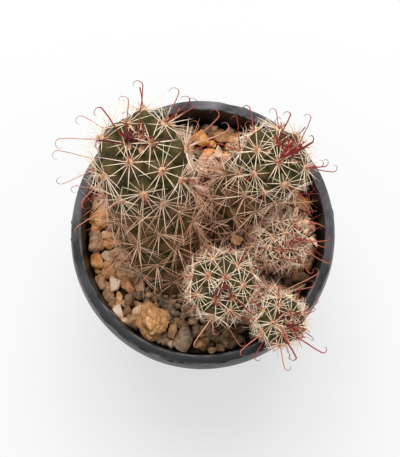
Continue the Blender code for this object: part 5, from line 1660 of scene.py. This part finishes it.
# Larger cushions in the crowns, which carry the tufts: where each is and its radius, in millimetres.
WOOL_SEEN = {
    "stem_tall": (((-26.2, 29.9, 129.1), 1.1), ((-21.7, 24.9, 131.0), 1.35), ((-21.8, 20.6, 132.0), 1.15),
                  ((-26.4, 21.9, 131.3), 1.3), ((-18.1, 21.7, 131.9), 1.0), ((-24.8, 28.8, 129.6), 0.8)),
    "stem_back": (((27.6, 19.9, 114.1), 1.2), ((27.3, 22.0, 114.0), 1.0), ((33.1, 20.9, 111.5), 1.1),
                  ((24.0, 23.9, 114.5), 0.9), ((29.4, 25.6, 112.1), 0.9)),
    "stem_front": (((1.9, -21.3, 105.3), 0.95), ((6.0, -24.6, 104.9), 1.05), ((7.8, -21.7, 105.6), 0.9),
                   ((9.6, -21.2, 105.5), 0.9), ((5.0, -29.0, 103.3), 1.15), ((10.5, -28.0, 103.2), 1.1)),
    "stem_corner": (((27.3, -32.0, 107.2), 0.95), ((26.2, -38.4, 107.3), 1.05), ((28.2, -39.3, 106.7), 1.1),
                    ((31.9, -34.5, 106.5), 0.95), ((33.2, -39.7, 104.1), 1.0), ((36.3, -33.8, 102.3), 0.9)),
    "stem_small": (((26.5, -5.5, 98.2), 0.95), ((25.0, -8.3, 97.0), 1.2), ((31.7, -7.9, 96.9), 0.85),
                   ((30.2, -2.4, 98.0), 0.7), ((38.8, -2.1, 91.8), 0.9)),
}


def felt_dome():
    """A dome of unit radius with a closed underside: (cos b cos a, cos b sin a, 0.45 sin b)."""
    b = np.linspace(-0.9, 1.3, FELT_ROWS)[:, None]
    a = full_turn(FELT_COLUMNS)[None]
    return np.stack([np.cos(b) * np.cos(a), np.cos(b) * np.sin(a), 0.45 * np.sin(b) + 0 * a], axis=-1)


def felt(tips, normals, around, up, size, seed):
    """The domes of all areoles, each of its own size, and paths of the hairs that stand out of them."""
    points, quads, fans = closed_rings(felt_dome())
    axes = np.stack([around, up, normals], axis=1) * size[:, None, None]
    domes = copies(tips[:, None] + np.einsum("vk,nkj->nvj", points, axes), quads, fans)
    draw = np.random.default_rng([seed, 6])
    lean = draw.uniform(0.10, 1.50, size=(len(tips), HAIRS))
    turn = draw.uniform(0, 2 * math.pi, size=lean.shape)
    way = towards(lean, normals[:, None], towards(turn, around[:, None], up[:, None]))
    start = tips[:, None] + way * (0.6 * size)[:, None, None]
    end = start + way * (size[:, None] * draw.uniform(0.55, 1.15, size=lean.shape))[..., None]
    hairs = np.stack([start, end], axis=2).reshape(-1, 2, 3)
    return domes, hairs, np.repeat(np.cross(normals, around + up), HAIRS, axis=0)


felt_material, tree, shader = new_material("areole_wool", 0.95, 0.15)
age = stored(tree, "age")
fibres = mottled(tree, 2500.0, 0.3, 0.7)
fresh = blend(tree, fibres, (0.58, 0.285, 0.135), (0.86, 0.575, 0.37))
worn_felt = blend(tree, fibres, (0.44, 0.24, 0.16), (0.68, 0.45, 0.33))
finish(tree, shader, blend(tree, age, fresh, worn_felt), 3500.0, 0.00012)
shader.inputs["Sheen Weight"].default_value = 0.2

for name, stem in stems.items():
    frames = stem.areole_frames()
    ages = stem.age_at(stem.downs)
    size = CARRIED[name]["felt"] * (0.35 + 0.65 * stem.size_at(stem.downs)) * (1 - 0.50 * ages)
    seen = np.array([at for at, _ in WOOL_SEEN[name]]) / 1000
    beside = np.linalg.norm(seen[:, None] - frames[0][None], axis=2).argmin(axis=1)
    tips = np.concatenate([frames[0], seen])
    ways = [np.concatenate([rows, rows[beside]]) for rows in frames[1:]]
    size = np.concatenate([size, [radius / 1000 for _, radius in WOOL_SEEN[name]]])
    ages = np.concatenate([ages, np.zeros(len(seen))])
    domes, hairs, across = felt(tips, *ways, size, stem.seed)
    piece = mesh_piece(name + "_felt", *domes)
    paint(piece, "age", np.repeat(ages, len(domes[0]) // len(ages)))
    place(piece, felt_material, "areole_wool")
    radii = np.tile(HAIR_RADII, (len(hairs), 1))
    ages = np.repeat(ages, HAIRS)
    spine_piece(name + "_felt_hairs", hairs, radii, across, 3, ages, felt_material, "areole_wool")

# %% [markdown]
# ## Dried bits
#
# A clump of this age drops old spines and flowers. Curled fibres lie in a nest on the gravel between the two
# tallest stems, a bundle of brown strands hangs on the right of the back stem, and papery flakes are caught
# in the spines below it and in the nest. They are too few and small for a simulation: fibres are arcs of
# circles and strands slack lines, swept like spines, and a flake is a flat ellipsoid rolled round a
# cylinder.

# %% Dried fibres
def arcs(centres, arc_radii, sweeps, seed):
    """Arcs c + R (cos(a) e + sin(a) f), with a from 0 to the sweep and e and f square to a random axis. Also
    those axes."""
    draw = np.random.default_rng(seed)
    e = unit(draw.normal(size=(len(centres), 3)))
    axis = unit(draw.normal(size=e.shape) * (0.5, 0.5, 1.3))
    f = unit(np.cross(axis, e))
    e = np.cross(f, axis)
    a = np.linspace(0, 1, 9)[None] * sweeps[:, None]
    return centres[:, None] + arc_radii[:, None, None] * towards(a, e[:, None], f[:, None]), axis


NEST_AT = np.array((0.0015, 0.0275, 0.0755))
NEST_HALF = np.array((0.0036, 0.0046, 0.0022))
NEST_FIBRES = 90
draw = np.random.default_rng(61)
ways = unit(draw.normal(size=(NEST_FIBRES, 3)))
centres = NEST_AT + NEST_HALF * ways * draw.uniform(0, 0.8, (NEST_FIBRES, 1))
arc_radii = draw.uniform(0.0012, 0.0034, NEST_FIBRES)
paths, across = arcs(centres, arc_radii, draw.uniform(1.2, 4.2, NEST_FIBRES), 62)
radii = draw.uniform(0.00011, 0.00020, (NEST_FIBRES, 1)) * np.linspace(1.0, 0.3, paths.shape[1])
ages = draw.uniform(0.3, 1.0, NEST_FIBRES)
spine_piece("dried_nest", paths, radii, across, 4, ages, pale_material, "pale_spine")

STRANDS = 16
STRANDS_FROM = np.array((0.0331, 0.0113, 0.0960))
STRANDS_TO = np.array((0.0401, 0.0061, 0.0910))
start = STRANDS_FROM + draw.normal(scale=0.0007, size=(STRANDS, 3))
end = STRANDS_TO + draw.normal(scale=0.0012, size=(STRANDS, 3))
swing = draw.normal(scale=0.0009, size=(STRANDS, 1, 3)) + (0.0, 0.0, 0.0012)
paths = swung(start, end, swing, 9)
radii = draw.uniform(0.00018, 0.00034, (STRANDS, 1)) * np.linspace(1.0, 0.45, 9)
across = np.tile([0.0, 0.0, 1.0], (STRANDS, 1))
strand_material, tree, shader = new_material("dried_strand", 0.75, 0.15)
streaks = mottled(tree, 500.0, 0.36, 0.66)
finish(tree, shader, blend(tree, streaks, (0.36, 0.150, 0.070), (0.72, 0.380, 0.200)), 1600.0, 0.00008)
spine_piece("dried_strands", paths, radii, across, 5, np.ones(STRANDS), strand_material, "pale_spine")

# %% Papery flakes
# Where each flake lies, its half length and half width, its turn and its roll, in millimetres and degrees.
FLAKES = (
    ((37.2, 0.8, 95.4), 2.3, 1.7, 20, 15), ((34.5, 5.2, 96.0), 1.9, 1.6, 70, -15),
    ((41.4, -5.7, 94.0), 2.2, 1.1, -50, 20), ((38.2, -2.2, 94.8), 1.6, 1.1, 60, -20),
    ((36.0, 8.0, 90.0), 2.3, 1.6, 30, 30), ((38.4, 4.4, 89.0), 2.2, 1.5, 110, -25),
    ((3.6, 29.6, 77.3), 2.2, 1.3, 60, 40), ((0.2, 25.2, 77.0), 1.9, 1.2, 150, -35),
)
FLAKE_THICKNESS = 0.00016


def flake(at, half_length, half_width, turn, roll, seed):
    """A flat ellipsoid with a torn edge, rolled round a cylinder of radius R: (x, y, z) becomes
    (x, (R + z) sin(y / R), (R + z) cos(y / R) - R). It is rippled, tilted about its length and turned."""
    b = np.linspace(-math.pi / 2 + 0.02, math.pi / 2 - 0.02, 15)[:, None]
    a = full_turn(36)[None]
    torn = 1 + 0.16 * np.sin(3 * a + seed) + 0.10 * np.sin(7 * a + 2 * seed)
    x = half_length * torn * np.cos(b) * np.cos(a)
    y = half_width * torn * np.cos(b) * np.sin(a)
    z = FLAKE_THICKNESS * 500 * np.sin(b) + 0 * a
    bend = 0.75 * half_width
    rolled = np.stack([x, (bend + z) * np.sin(y / bend), (bend + z) * np.cos(y / bend) - bend], axis=-1)
    rolled[..., 2] += 0.26 * ripple(rolled * (1, 1, 0), 1.3, seed)
    c, s = math.cos(math.radians(roll)), math.sin(math.radians(roll))
    tilted = rolled @ np.array([[1, 0, 0], [0, c, s], [0, -s, c]])
    return (tilted @ spun(np.radians([-turn]))[0] + at) / 1000


shapes = [closed_rings(flake(*row, seed=70 + i)) for i, row in enumerate(FLAKES)]
flakes = mesh_piece("dried_flakes", *copies(np.stack([shape[0] for shape in shapes]), *shapes[0][1:]))
paper, tree, shader = new_material("dried_paper", 0.7, 0.2)
veins = mottled(tree, 420.0, 0.34, 0.66)
finish(tree, shader, blend(tree, veins, (0.44, 0.230, 0.130), (0.78, 0.540, 0.390)), 900.0, 0.0002)
glowing(shader, 0.2, 0.0010, 0.0006, 0.0004)
place(flakes, paper, "areole_wool")
